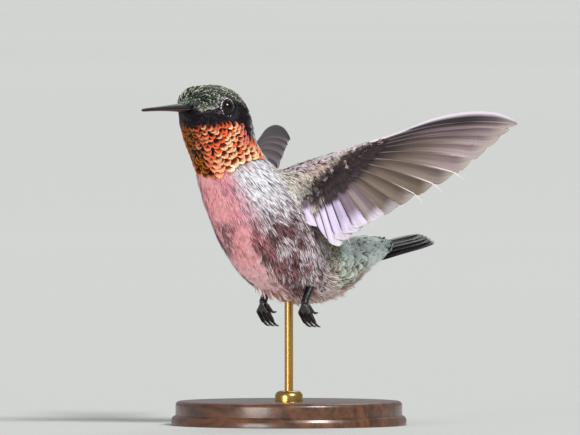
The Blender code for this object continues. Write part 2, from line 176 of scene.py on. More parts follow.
def way_to(turn, rise):
    """The direction at a turn about the bird and a rise above the table, both in radians."""
    return Vector((math.sin(turn) * math.cos(rise), -math.cos(turn) * math.cos(rise), math.sin(rise)))


view_way = way_to(VIEW_TURN, VIEW_RISE)
camera_data = bpy.data.cameras.new("camera")
camera_data.lens = LENS
camera_data.sensor_width = SENSOR
camera_data.clip_start, camera_data.clip_end = CLIP
camera = link_object("camera", camera_data)
camera.location = (Vector(VIEW_CENTRE) + view_way * VIEW_WIDTH * LENS / SENSOR) * MM
camera.rotation_euler = view_way.to_track_quat("Z", "Y").to_euler()
bpy.context.scene.camera = camera

table_top = turned("table_top", [(0, 0), *((radius, 0) for radius in TABLE_RINGS)], TABLE_STEPS)
paper = Finish("table_paper", {"Roughness": 0.9, "Specular IOR Level": 0.1})
grain = paper.add("ShaderNodeTexNoise", {"Scale": 30.0, "Detail": 3.0}, "Fac")
paper.feed("Base Color", paper.mixed(grain, (194, 197, 194), (201, 203, 201)))
table_top.data.materials.append(paper.material)


def soft_lamp(name, turn, rise, spread, strength, colour):
    """A far lamp, from a turn and a rise in degrees; spread softens its shadows."""
    data = bpy.data.lights.new(name, "SUN")
    data.angle = math.radians(spread)
    data.energy = strength
    data.color = colour
    way = way_to(math.radians(turn), math.radians(rise))
    link_object(name, data).rotation_euler = way.to_track_quat("Z", "Y").to_euler()


soft_lamp("lamp_key", 80, 42, 16, 2.9, (1.0, 0.98, 0.95))
soft_lamp("lamp_fill", 12, 7, 26, 1.7, (1.0, 0.97, 0.97))
soft_lamp("lamp_rim", 215, 50, 30, 0.7, (1.0, 1.0, 1.0))
world = bpy.data.worlds.new("room")
bpy.context.scene.world = world
world.use_nodes = True
world.node_tree.nodes["Background"].inputs["Color"].default_value = (0.93, 0.96, 1.0, 1.0)
world.node_tree.nodes["Background"].inputs["Strength"].default_value = 0.32
bpy.context.scene.view_settings.view_transform = "Standard"

# -----------------------------------------------------------------------------------------------------------
# The stand: a lacquered walnut base, a brass collar and one brass rod. Each is turned on a lathe. The rod is
# a push fit in the base and runs up into the plumage between the legs.

BEAD = 0.8
COVE = (0.2, 1.9, 1.5, 1.1)  # depth of the cove, and its upper, middle and lower heights
CHAMFER = 0.1
FIT = 0.05  # clearance of the collar round the rod
GLUE_LINE = 0.02  # under the collar
COLLAR_TOP = 0.6  # share of the collar's radius that is flat on top
COLLAR_DROP = 1.1
ROD_CHAMFER = 0.15


def corners_mm(node):
    low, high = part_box(node)
    return np.array(low) / MM, np.array(high) / MM


def quarter_round(radius, height, wide, high):
    """A rounded edge from the rim of a flat top, out and down over so much width and height."""
    angles = np.arange(9) * math.pi / 16
    return [(radius + wide * math.sin(a), height - high * (1 - math.cos(a))) for a in angles]


def fit(piece, finish, slot, *nodes):
    """Gives a piece its finish and hides the solids it stands for. The slot is not used. The model is one
    still body.
    """
    piece.data.materials.append(finish.material)
    if nodes:
        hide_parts(*nodes)
    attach(piece, "root")


base_high = corners_mm("stand_base")[1]
base_radius, base_top = base_high[0], base_high[2]
depth, high, middle, low = COVE
base = turned("base", [
    (0, base_top), *quarter_round(base_radius - 2 * BEAD, base_top, BEAD, BEAD), (base_radius - BEAD, high),
    (base_radius - depth, middle), (base_radius - CHAMFER / 2, low), (base_radius, low - CHAMFER),
    (base_radius, CHAMFER), (base_radius - CHAMFER, 0), (0, 0),
], 128)
wood = Finish("walnut", {"Coat Weight": 0.5, "Coat Roughness": 0.18})
stretch = wood.add("ShaderNodeMapping", {
    "Vector": wood.place(), "Location": (0.011, 0.004, 0.0), "Rotation": (0.0, 0.05, 0.5),
    "Scale": (1.0, 7.0, 5.0),
})
pores = wood.noise(stretch, 900.0)
bands = wood.add("ShaderNodeValToRGB", {"Fac": wood.noise(stretch, 90.0, 6.0, Distortion=0.6)}, "Color")
for stop, at, colour in zip(bands.node.color_ramp.elements, (0.3, 0.7), ((48, 27, 17), (112, 70, 44))):
    stop.position = at
    stop.color = (*srgb(*colour), 1)
wood.feed("Base Color", wood.darkened(bands, wood.spread(pores, 0.3, 0.5, 0.55, 1.0)))
wood.feed("Roughness", wood.spread(pores, 0.3, 0.7, 0.42, 0.3))
wood.emboss(pores, 0.25, 0.0001)
fit(base, wood, "stand_wood", "stand_base")

collar_radius, _, collar_top = corners_mm("stand_collar")[1]
rod_radius, _, rod_top = corners_mm("stand_rod")[1]
bore = rod_radius + FIT
flat_top = COLLAR_TOP * collar_radius
seat = base_top + GLUE_LINE
collar = turned("collar", [
    (bore, collar_top), *quarter_round(flat_top, collar_top, collar_radius - flat_top, COLLAR_DROP),
    (collar_radius, seat), (bore, seat), (bore, collar_top),
], 64)
rod = turned("rod", [
    (0, rod_top), (rod_radius - ROD_CHAMFER, rod_top), (rod_radius, rod_top - ROD_CHAMFER),
    (rod_radius, base_top), (0, base_top),
], 48)
brass = Finish("satin_brass", {"Metallic": 1.0})
place = brass.place()
fine = brass.add("ShaderNodeMapping", {"Vector": place, "Scale": (1.0, 1.0, 14.0)})
brass.feed("Base Color", brass.mixed(brass.noise(place, 260.0, 4.0), (206, 168, 96), (176, 136, 72)))
brass.feed("Roughness", brass.spread(brass.noise(fine, 900.0), 0.3, 0.7, 0.22, 0.36))
fit(collar, brass, "stand_brass", "stand_collar")
fit(rod, brass, "stand_brass", "stand_rod")

# -----------------------------------------------------------------------------------------------------------
# The skin: one tanned skin from the bill to the tail and out along both wing arms, dried over the carved
# body. It is shrunk below the solids by the depth of the plumage that stands on it, with no seam.

BODY = ("head", "neck", "breast", "belly", "rump")
FLESH = (*BODY, "wing_left_arm", "wing_left_hand", "wing_right_arm", "wing_right_hand")
SKIN_GRAIN = 0.3
SKIN_ROUNDS = 12  # of smoothing
COAT_ROUNDS = 20
SEAM_FILL = 0.25
COAT_DEPTH = {"head": 0.22, "neck": 0.32, "breast": 0.6, "belly": 0.6, "rump": 0.45, "wing": 0.25}


def node_mesh(node):
    """A node's points in millimetres with the doubles merged, and its faces as lists of point numbers."""
    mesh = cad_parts[node].data
    points = np.array([v.co for v in mesh.vertices], float) / MM
    _, first, back = np.unique(np.round(points, 3), axis=0, return_index=True, return_inverse=True)
    back = back.reshape(-1)
    faces = []
    for polygon in mesh.polygons:
        corners = [int(back[v]) for v in polygon.vertices]
        if len(set(corners)) == len(corners):
            faces.append(corners)
    return points[first], faces


def unit(vectors):
    return vectors / np.maximum(np.linalg.norm(vectors, axis=-1, keepdims=True), 1e-9)


def normals_of(points, triangles):
    """A unit normal for each point, weighted by the area of the triangles round it."""
    a, b, c = (points[triangles[:, i]] for i in range(3))
    flat = np.cross(b - a, c - a)
    total = np.zeros_like(points)
    for i in range(3):
        np.add.at(total, triangles[:, i], flat)
    return unit(total)


def triangles_from(faces):
    return np.array([(f[0], f[i], f[i + 1]) for f in faces for i in range(1, len(f) - 1)])


def evaluated(points, faces, kind, **settings):
    """The points and triangles of a closed mesh after one modifier."""
    mesh = bpy.data.meshes.new("making")
    mesh.from_pydata([tuple(p) for p in points], [], faces)
    obj = link_object("making", mesh)
    modifier = obj.modifiers.new("making", kind)
    for key, value in settings.items():
        setattr(modifier, key, value)
    result = obj.evaluated_get(bpy.context.evaluated_depsgraph_get()).to_mesh()
    result.calc_loop_triangles()
    made = np.empty(len(result.vertices) * 3)
    result.vertices.foreach_get("co", made)
    triangles = np.empty(len(result.loop_triangles) * 3, np.int32)
    result.loop_triangles.foreach_get("vertices", triangles)
    bpy.data.objects.remove(obj)
    bpy.data.meshes.remove(mesh)
    return made.reshape(-1, 3), triangles.reshape(-1, 3)


def joined(parts):
    """Several (points, faces) in one."""
    points, faces, start = [], [], 0
    for some, their_faces in parts:
        points.append(some)
        faces += [[v + start for v in face] for face in their_faces]
        start += len(some)
    return np.concatenate(points), faces


def smoothed(values, triangles, rounds, share=0.6):
    """Values at the points, each drawn part of the way to the middle of its neighbours, so many times."""
    ends = np.concatenate([triangles[:, [0, 1]], triangles[:, [1, 2]], triangles[:, [2, 0]]])
    edges = np.unique(np.sort(ends, axis=1), axis=0)
    count = np.bincount(edges.reshape(-1), minlength=len(values)).astype(float)
    count = count.reshape(-1, *[1] * (values.ndim - 1))
    for _ in range(rounds):
        total = np.zeros_like(values)
        np.add.at(total, edges[:, 0], values[edges[:, 1]])
        np.add.at(total, edges[:, 1], values[edges[:, 0]])
        values = values + share * (total / count - values)
    return values


def grown(node, by):
    """A node's points moved out along their normals, and its faces."""
    points, faces = node_mesh(node)
    return points + by * normals_of(points, triangles_from(faces)), faces


def remeshed(parts, grain):
    """One closed mesh round several that touch."""
    return evaluated(*joined(parts), "REMESH", mode="VOXEL", voxel_size=grain, adaptivity=0.0)


def tree_of(points):
    """Finds the number of the point that is nearest to a place."""
    tree = KDTree(len(points))
    for i, point in enumerate(points):
        tree.insert(point, i)
    tree.balance()
    return lambda places: np.array([tree.find(place)[1] for place in places])


def surface_of(points, faces):
    return BVHTree.FromPolygons([tuple(p) for p in points], [tuple(f) for f in faces])


parts = [grown(node, SEAM_FILL) for node in FLESH]
depths = [COAT_DEPTH.get(node, COAT_DEPTH["wing"]) for node in FLESH]
depths = np.repeat(depths, [len(points) for points, _ in parts])
nearest_flesh = tree_of(joined(parts)[0])
skin_points, skin_triangles = remeshed(parts, SKIN_GRAIN)
skin_points = smoothed(skin_points, skin_triangles, SKIN_ROUNDS)
coat = smoothed(depths[nearest_flesh(skin_points)], skin_triangles, COAT_ROUNDS)
skin_normals = normals_of(skin_points, skin_triangles)
skin_points = skin_points - skin_normals * (coat + SEAM_FILL)[:, None]
skin_points = smoothed(skin_points, skin_triangles, 3)
skin_normals = normals_of(skin_points, skin_triangles)
skin_surface = surface_of(skin_points, skin_triangles.tolist())

# -----------------------------------------------------------------------------------------------------------
# The markings: where each colour of the living male lies, and where light and shade are painted in, told in
# the bird's own measures. Skin and plumage take the same markings, so that a gap between two feathers shows
# nothing foreign.

eye_places = {side: sum(corners_mm("eye_" + side)) / 2 for side in ("left", "right")}
bill_points, _ = node_mesh("bill_upper")
eye_middle = (eye_places["left"] + eye_places["right"]) / 2
head_left = unit(eye_places["left"] - eye_places["right"])
reach = bill_points - eye_middle
head_front = reach[np.argmax(np.linalg.norm(reach, axis=1))] * (1, 1, 0)
head_front = unit(head_front - head_left * (head_front @ head_left))
head_up = np.cross(head_front, head_left)
THROAT_AXIS = -4.0  # the upright axis of head and neck, behind the eyes
BONE_START = 0.8  # the backbone starts so far behind the horn of the bill
BONE_STEPS = 360

bill_reach = (bill_points - eye_middle) @ head_front
bill_base = eye_middle + head_front * (bill_reach.min() - BONE_START)
knots = np.array([bill_base, *(sum(corners_mm(node)) / 2 for node in (*BODY, "tail"))])


def spline(points, count):
    """Points along a Catmull-Rom curve, with the place of each as a knot number and fraction."""
    ends = np.concatenate([[2 * points[0] - points[1]], points, [2 * points[-1] - points[-2]]])
    at = np.linspace(0, len(points) - 1, count)
    i = np.minimum(at.astype(int), len(points) - 2)
    t = (at - i)[:, None]
    a, b, c, d = (ends[i + k] for k in range(4))
    bend, twist = 2 * a - 5 * b + 4 * c - d, 3 * b - a - 3 * c + d
    return 0.5 * (2 * b + (c - a) * t + bend * t * t + twist * t ** 3), at


backbone, backbone_at = spline(knots, BONE_STEPS)
backbone_way = unit(np.gradient(backbone, axis=0))
nearest_bone = tree_of(backbone)


def ramp(value, low, high):
    """0 below low, 1 above high and a smooth rise between; high may be the lower of the two."""
    t = np.clip((value - low) / (high - low), 0, 1)
    return t * t * (3 - 2 * t)


def blend(a, b, share):
    """From colour a to colour b by a share for each point."""
    share = np.asarray(share)[..., None]
    return np.asarray(a) * (1 - share) + np.asarray(b) * share


def washed(colour, washes):
    """A colour with others laid over it in turn, each by its own share."""
    for over, share in washes:
        colour = blend(colour, over, share)
    return colour


def dyes(*paints):
    """The base, edge and root colours of a feather."""
    return np.array([srgb(*paint) for paint in paints])[:, None]


WAVES = 7
WAVE_SUM = 5.2  # brings the sum of the waves to a spread of about one


def cells(points, size, seed):
    """A smooth random value about 0.5 for each point, that changes over so many millimetres."""
    rng = np.random.default_rng(seed)
    total = np.zeros(len(points))
    for _ in range(WAVES):
        way = unit(rng.normal(size=3)) * rng.uniform(0.7, 1.4) * 2 * math.pi / size
        total += np.sin(points @ way + rng.uniform(0, 7))
    return 0.5 + total / WAVE_SUM


class Places:
    """The bird's own measures at some points: along the body, round it, and in the head's frame."""

    def __init__(self, points):
        self.points = points
        near = nearest_bone(points)
        self.station = backbone_at[near]
        self.way = backbone_way[near]
        out = points - backbone[near]
        side = unit(np.array((1.0, 0, 0)) - self.way * self.way[:, :1])
        up = np.cross(side, self.way)
        self.signed = np.degrees(np.arctan2((out * side).sum(1), (out * up).sum(1)))
        self.round = np.abs(self.signed)
        rel = points - eye_middle
        self.front, self.left, self.up = rel @ head_front, rel @ head_left, rel @ head_up
        self.turn = np.degrees(np.arctan2(self.left, self.front - THROAT_AXIS))
        self.off = np.abs(self.turn)


# The gorget's upper and lower borders: their height over the eyes at turns away from the bill, in degrees.
GORGET_TURNS = (0, 30, 55, 70, 90, 112, 128)
GORGET_TOPS = (-2.9, -2.8, -2.6, -2.9, -4.8, -6.0, -6.4)
GORGET_BASES = (-11.3, -10.8, -10.4, -9.6, -8.9, -8.3, -8.0)
GORGET_END = 126
# The upper border of the black face, told in the same way.
MASK_TURNS = (0, 12, 32, 48, 85, 110)
MASK_TOPS = (0.3, -0.3, 0.7, 1.7, 1.6, -1.2)
MASK_END = 108
# The borders of the back and of the belly, in degrees round the body, at stations along it.
BACK_STATIONS = (1.5, 2.2, 2.5, 2.9, 3.4, 4.0, 4.5, 5.0)
BACK_EDGES = (64, 48, 50, 58, 70, 84, 105, 130)
BELLY_STATIONS = (2.0, 2.5, 3.0, 3.5, 4.0, 4.5)
BELLY_EDGES = (158, 156, 154, 148, 140, 126)
EDGE_FADE = 9
MOTTLE = 3.4  # sizes of the irregularities
WOBBLE = 2.6
SPECK = 1.1


def regions(places):
    """The share of each region of plumage at each point, from 0 to 1."""
    up, off, station, around = places.up, places.off, places.station, places.round
    wobble = cells(places.points, WOBBLE, 5) - 0.5
    top = np.interp(off, GORGET_TURNS, GORGET_TOPS)
    base = np.interp(off, GORGET_TURNS, GORGET_BASES)
    head = station < 2.7
    below_top = ramp(up, top + 0.25, top - 0.25)
    gorget = ramp(up, base - 0.06, base + 0.06) * below_top
    gorget = gorget * ramp(off, GORGET_END + 4, GORGET_END - 2) * head
    crown_line = np.interp(off, MASK_TURNS, MASK_TOPS)
    face = ramp(up, crown_line + 0.2, crown_line - 0.2) * (1 - below_top)
    face = face * ramp(off + 3 * wobble, MASK_END + 5, MASK_END - 5) * head
    above = 1 - np.clip(gorget + face, 0, 1)
    crown = above * ramp(up, -5.5, -2.5) * head * ramp(station, 2.3, 1.9)
    rest = above * (1 - crown)
    back_edge = np.interp(station, BACK_STATIONS, BACK_EDGES)
    back = rest * ramp(around + 14 * wobble, back_edge + EDGE_FADE, back_edge - EDGE_FADE)
    rump = rest * ramp(station + 0.3 * wobble, 3.95, 4.25) * ramp(around, 128, 104)
    back = back * (1 - ramp(station + 0.3 * wobble, 3.95, 4.25))
    front = rest * (1 - np.clip(back + rump, 0, 1))
    vent = front * ramp(station, 3.9, 4.3)
    belly_edge = np.interp(station, BELLY_STATIONS, BELLY_EDGES)
    pink = ramp(around + 16 * wobble, belly_edge - EDGE_FADE, belly_edge + EDGE_FADE)
    pink = front * pink * (1 - vent)
    side = front - vent - pink
    flank = side * ramp(station + 0.3 * wobble + 0.25 * ramp(around, 105, 130), 2.8, 3.05)
    breast = side - flank
    return {
        "gorget": gorget, "face": face, "crown": crown, "back": back, "rump": rump, "vent": vent,
        "pink": pink, "flank": flank, "breast": breast,
    }


# The base, edge and root colours of each kind of feather. The dark roots are partly the feathers' own darker
# bases and partly painted shade under the feathers that lie over them.
CROWN = dyes((34, 44, 35), (244, 250, 228), (6, 9, 7))
CROWN_DULL = dyes((40, 52, 42), (104, 118, 98), (6, 9, 7))
CROWN_BRIM = dyes((120, 128, 112), (236, 240, 224), (10, 12, 10))
FACE = dyes((14, 6, 9), (46, 30, 48), (4, 2, 3))
# Lavender, painted as sheen on the glossy black face, and the colour of the pale feathers at the ear.
FACE_SHEEN_AND_EAR = srgb(150, 132, 164)
BACK = dyes((110, 108, 80), (222, 220, 196), (30, 28, 22))
RUMP = dyes((224, 244, 234), (255, 255, 255), (92, 106, 98))
RUMP_OLIVE = dyes((128, 128, 110), (210, 216, 200), (46, 46, 38))
VENT = dyes((252, 204, 198), (255, 240, 232), (164, 104, 100))
PINK = dyes((255, 156, 162), (255, 196, 200), (226, 104, 112))
# The pink painted paler low on the belly, as painted light from below.
PINK_LIT_BELOW = dyes((255, 198, 204), (255, 232, 232), (238, 142, 150))
BREAST = dyes((240, 234, 255), (255, 255, 255), (80, 66, 86))
BREAST_ROSY = dyes((228, 168, 184), (228, 168, 184), (226, 104, 112))
SHOULDER = dyes((190, 180, 164), (246, 240, 228), (34, 26, 22))
FLANK_LIGHT = dyes((222, 194, 200), (254, 244, 250), (62, 32, 36))
FLANK_DARK = dyes((82, 42, 44), (172, 122, 126), (22, 9, 11))
# The gorget's dark gold is painted shade and its cream is painted highlight, laid over the ruby of the
# iridescent throat.
GORGET_SHADED = dyes((108, 46, 4), (236, 142, 26), (12, 3, 1))
GORGET_RED = dyes((250, 92, 36), (255, 160, 116), (30, 2, 1))
GORGET_GLINT = dyes((255, 218, 170), (255, 146, 92), (120, 14, 4))
GORGET_CORAL = dyes((242, 84, 76), (255, 176, 166), (60, 4, 6))


def markings(places):
    """The base, edge and root colours of the plumage at each point."""
    mottle = cells(places.points, MOTTLE, 11)
    speck = cells(places.points, SPECK, 12)
    station, around, off, up, left = places.station, places.round, places.off, places.up, places.left
    # The gorget's iridescence is painted as the light catches it: it turns from dark gold painted shade on
    # the right through red to cream painted highlights on the left, and to coral behind.
    red = ramp(left + 1.6 * (speck - 0.5), -0.6, 1.6)
    pale = ramp(left - 0.55 * (up + 7.5), 1.4, 4.6) * ramp(off, 128, 112)
    pale = np.clip(pale + 1.6 * (speck - 0.5) * ramp(left, -1.5, 2.5), 0, 1)
    coral = 0.85 * ramp(off, 56, 78) * ramp(up + 1.2 * (speck - 0.5), -7.2, -5.4)
    gorget = washed(GORGET_SHADED, ((GORGET_RED, red), (GORGET_GLINT, pale), (GORGET_CORAL, coral)))
    # Brown mottling runs down the flank in a band, with strays beyond it.
    band = ramp(around, 104, 122) * ramp(around, 164, 150) * ramp(station, 4.2, 3.7)
    band = ramp(0.62 * band + 0.9 * (mottle - 0.5) + 0.35 * (speck - 0.5), 0.3, 0.5)
    strays = 0.6 * ramp(mottle + 0.6 * (speck - 0.5), 0.6, 0.72)
    flank = blend(FLANK_LIGHT, FLANK_DARK, np.maximum(band, strays))
    rosy = ramp(around, 130, 158) * ramp(station, 3.1, 2.6)
    cream = ramp(around, 96, 80) * ramp(station, 2.2, 2.4) * ramp(station, 3.0, 2.8)
    hatch = ramp(speck + 0.4 * (mottle - 0.5), 0.5, 0.72) * ramp(station, 2.35, 2.7) * ramp(around, 160, 140)
    breast = washed(BREAST, ((BREAST_ROSY, rosy), (SHOULDER, cream), (FLANK_DARK, hatch)))
    # The pink belly is painted paler downward, as painted light from below. It has a smudge across it, a
    # darker one at its front edge, and flecks.
    smudge = ramp(station, 2.6, 2.8) * ramp(station, 3.3, 3.0)
    smudge = smudge * ramp(mottle, 0.46, 0.64) * ramp(speck, 0.4, 0.6)
    across, high = places.points[:, 0] + places.points[:, 1], places.points[:, 2]
    front_edge_dark = 2.0 * ramp(across, -15.0, -17.2) * ramp(high, 40.4, 38.6) * ramp(high, 32.4, 34.4)
    flecks = ramp(station, 2.9, 3.2) * ramp(speck, 0.6, 0.8) * ramp(around, 172, 156)
    darker_patches = np.maximum(np.maximum(smudge, front_edge_dark * ramp(speck, 0.15, 0.45)), flecks)
    pink = blend(PINK, PINK_LIT_BELOW, 0.8 * ramp(station, 3.2, 3.7))
    pink = blend(pink, FLANK_DARK, np.clip(0.7 * darker_patches, 0, 1))
    # A pale line edges the crown above the black face. Before the eye and by the bill the black feathers
    # take a lavender painted sheen, and pale feathers lie at the ear.
    brow = np.interp(off, MASK_TURNS, MASK_TOPS) - up
    brim = 0.8 * ramp(brow, -0.6, -0.3) * ramp(off, 60, 50)
    crown = washed(CROWN, ((CROWN_DULL, ramp(speck, 0.56, 0.44)), (CROWN_BRIM, brim)))
    sheen_and_ear = ramp(brow, 0.7, 0.9) * ramp(brow, 1.5, 1.2) * ramp(off, 62, 52) * ramp(off, 16, 24)
    sheen_and_ear = 0.8 * sheen_and_ear * ramp(speck, 0.3, 0.55)
    ear = 0.5 * ramp(off, 84, 100) * ramp(speck, 0.62, 0.8)
    sheen_and_ear = np.maximum(np.maximum(sheen_and_ear, 0.35 * ramp(brow, 0.7, 0.4) * ramp(off, 44, 30)), ear)
    face = blend(FACE, FACE_SHEEN_AND_EAR, np.multiply.outer((0.2, 0.95, 0), sheen_and_ear))
    olive = np.clip(ramp(around, 62, 88) + 1.2 * (speck - 0.5), 0, 1) * ramp(station, 5.1, 4.7)
    known = {
        "gorget": gorget, "face": face, "crown": crown, "back": BACK, "rump": blend(RUMP, RUMP_OLIVE, olive),
        "vent": VENT, "pink": pink, "flank": flank, "breast": breast,
    }
    share = regions(places)
    colour = sum(weight[:, None] * known[region] for region, weight in share.items())
    return colour / np.maximum(sum(share.values()), 1e-6)[:, None]


def paint(mesh, name, colours):
    """A colour for each point of a mesh."""
    layer = mesh.attributes.new(name, "FLOAT_COLOR", "POINT")
    layer.data.foreach_set("color", np.insert(colours, 3, 1.0, axis=1).astype(np.float32).reshape(-1))


SKIN_SHADE = 0.8  # the skin takes the root colours, a little darker
_, _, skin_tint = markings(Places(skin_points))
skin = object_from("skin", skin_points, skin_triangles.tolist())
paint(skin.data, "plume", skin_tint * SKIN_SHADE)
hide = Finish("down_and_skin", {"Roughness": 0.8})
tint = hide.painted("plume")
down = hide.noise(hide.place(), 2600.0, 3.0)
hide.feed("Base Color", hide.darkened(tint, hide.spread(down, 0.3, 0.7, 0.55, 1.2)))
hide.emboss(down, 0.5, 0.0001)
fit(skin, hide, "breast_white", *FLESH)

# -----------------------------------------------------------------------------------------------------------
# The body plumage: contour feathers set one by one into the skin, each rooted under those before it and
# lying back along the body. Scale-shaped feathers cover head, gorget, back and rump, loose ones the rest.

CANDIDATES = 90000
ARM_START = 8.6  # the distance from the bird's middle where coverts take over from the body plumage
ACROSS_STEPS = (-1, -0.8, -0.35, 0.35, 0.8, 1)
ALONG_STEPS = (0, 0.3, 0.6, 0.82, 0.94, 1)
LOCK = ((0, 0.9), (0.38, 1.0), (0.72, 0.7), (1, 0))  # how thick a lock of barbs is, from root to tip
PATCH = 0.0024  # size of one feather on the map for baking
CHART_TURN = 380  # degrees across that map, a little more than once round the body
SIZES = (0.86, 1.12)  # how far feathers of one kind differ
ROLL = 0.12
ROOT_SINK = 0.08  # how deep a root sits in the skin
STRAIGHT = 0.4
BARB_DEPTH = 0.00005


def skin_samples(count, seed):
    """Points spread evenly at random over the skin, with the skin's normals there."""
    rng = np.random.default_rng(seed)
    a, b, c = (skin_points[skin_triangles[:, i]] for i in range(3))
    area = np.linalg.norm(np.cross(b - a, c - a), axis=1)
    pick = rng.choice(len(area), count, p=area / area.sum())
    u, v = rng.random((2, count, 1))
    over = u + v > 1
    u, v = np.where(over, 1 - u, u), np.where(over, 1 - v, v)
    points = a[pick] + u * (b - a)[pick] + v * (c - a)[pick]
    na, nb, nc = (skin_normals[skin_triangles[pick, i]] for i in range(3))
    return points, unit(na + u * (nb - na) + v * (nc - na))


def thinned(points, spacing):
    """The numbers of the points that are left when none may be nearer another than its own spacing."""
    spacing = np.broadcast_to(spacing, len(points))
    cells_of = np.floor(points / spacing.max()).astype(int).tolist()
    around = list(itertools.product((-1, 0, 1), repeat=3))
    taken, kept = {}, []
    for i, ((x, y, z), point) in enumerate(zip(cells_of, points.tolist())):
        beside = (taken.get((x + a, y + b, z + c), ()) for a, b, c in around)
        if all(math.dist(other, point) >= spacing[i] for others in beside for other in others):
            taken.setdefault((x, y, z), []).append(point)
            kept.append(i)
    return np.array(kept, int)


def nearest(surface, points):
    """The nearest points of a surface, and its normals there."""
    found = [surface.find_nearest(p) for p in points]
    return np.array([f[0] for f in found]), np.array([f[1] for f in found])


def facing(vectors, way):
    """The vectors, each turned about where it points away from its way."""
    return vectors * np.sign((vectors * way).sum(-1, keepdims=True))


def laid_flat(ways, normals):
    """Directions turned flat to the surface that has these normals."""
    return unit(ways - normals * (ways * normals).sum(1, keepdims=True))


def grid_faces(rows, columns, closed=True):
    """Faces of a grid of points, row after row, joined round when closed."""
    faces = []
    for start in range(0, (rows - 1) * columns, columns):
        for column in range(columns if closed else columns - 1):
            here, after = start + column, start + (column + 1) % columns
            faces.append((here, after, after + columns, here + columns))
    return faces


def scale_form(count, rng):
    """Across and along of each point of a rounded feather, the same for all, and its faces."""
    across, along = np.meshgrid(ACROSS_STEPS, ALONG_STEPS)
    across, along = across.reshape(-1), along.reshape(-1)
    width = np.interp(along, (0, 0.3, 0.6, 0.85, 1), (0.4, 0.86, 1.0, 1.0, 0.9))
    faces = grid_faces(len(ALONG_STEPS), len(ACROSS_STEPS), closed=False)
    reach = along * (1 - 0.34 * np.abs(across) ** 2.8)
    rim = np.maximum(ramp(np.abs(across), 0.78, 0.98), ramp(along, 0.92, 0.99)) * ramp(along, 0.25, 0.5)
    shape = {
        "across": across * width, "along": reach, "rise": along ** 1.3, "dome": -np.abs(across) ** 2,
        "rim": rim, "vane": across, "tip": along,
    }
    return {key: np.tile(value, (count, 1)) for key, value in shape.items()}, faces


def loose_form(strips, shaded_share, evenness, spread=1.0):
    """The form of a loose feather: narrow locks of barbs that part toward their ragged ends."""

    def form(count, rng):
        middle = (np.arange(strips) + 0.5) / strips * 2 - 1
        centre = middle + rng.uniform(-0.1, 0.1, (count, strips))
        length = (1 - 0.3 * middle ** 2) * rng.uniform(1 - 0.28 * spread, 1.0, (count, strips))
        bend = spread * (rng.uniform(-0.15, 0.15, (count, strips)) + rng.uniform(-0.3, 0.3, (count, 1)))
        lift = spread * rng.uniform(-0.5, 0.5, (count, strips))
        tone = rng.uniform(evenness, 2 - evenness, (count, strips))
        # A share of the locks is painted nearly black, as painted shade in the gaps between the locks.
        tone = np.where(rng.random((count, strips)) < shaded_share, 0.14 * tone, tone)
        shape = {key: [] for key in ("across", "along", "rise", "dome", "rim", "vane", "tip", "tone")}
        faces, start = [], 0
        for i in range(strips):
            for t, thick in LOCK:
                for side in (-1, 1) if thick else (0,):
                    path = centre[:, i] * (0.4 + 0.6 * t ** 0.8) + bend[:, i] * t * t
                    shape["across"].append(path + side * thick * 1.25 / strips)
                    shape["along"].append(length[:, i] * t)
                    shape["rise"].append(t ** 1.3 * (1 + 0.35 * lift[:, i]))
                    shape["dome"].append(-np.abs(path) ** 2)
                    shape["rim"].append(np.full(count, ramp(t, 0.45, 1.0)))
                    shape["vane"].append(path)
                    shape["tip"].append(np.full(count, t))
                    shape["tone"].append(1 + (tone[:, i] - 1) * (0.35 + 0.65 * t))
            faces += [
                (start, start + 1, start + 3, start + 2), (start + 2, start + 3, start + 5, start + 4),
                (start + 4, start + 5, start + 6),
            ]
            start += 7
        return {key: np.stack(value, 1) for key, value in shape.items()}, faces

    return form


def make_coat(name, points, corners, sizes, colours, vane, spots):
    """One mesh of many plumes, with their colours, their vane places and the map for baking."""
    mesh = bpy.data.meshes.new(name)
    mesh.vertices.add(len(points))
    mesh.vertices.foreach_set("co", (points * MM).astype(np.float32).reshape(-1))
    mesh.loops.add(len(corners))
    mesh.loops.foreach_set("vertex_index", corners.astype(np.int32))
    mesh.polygons.add(len(sizes))
    starts = np.concatenate([[0], np.cumsum(sizes)[:-1]])
    mesh.polygons.foreach_set("loop_start", starts.astype(np.int32))
    mesh.update(calc_edges=True)
    mesh.validate()
    paint(mesh, "plume", colours)
    layer = mesh.attributes.new("vane", "FLOAT_VECTOR", "POINT")
    layer.data.foreach_set("vector", vane.astype(np.float32).reshape(-1))
    unwrap = mesh.uv_layers.new(name="OFBake")
    unwrap.data.foreach_set("uv", spots[corners].astype(np.float32).reshape(-1))
    mesh.shade_smooth()
    return link_object(name, mesh)


def body_chart(places):
    """Where points lie on the map for baking, laid out round and along the body."""
    return np.stack([0.5 + places.signed / CHART_TURN, 0.05 + 0.9 * places.station / (len(knots) - 1)], -1)


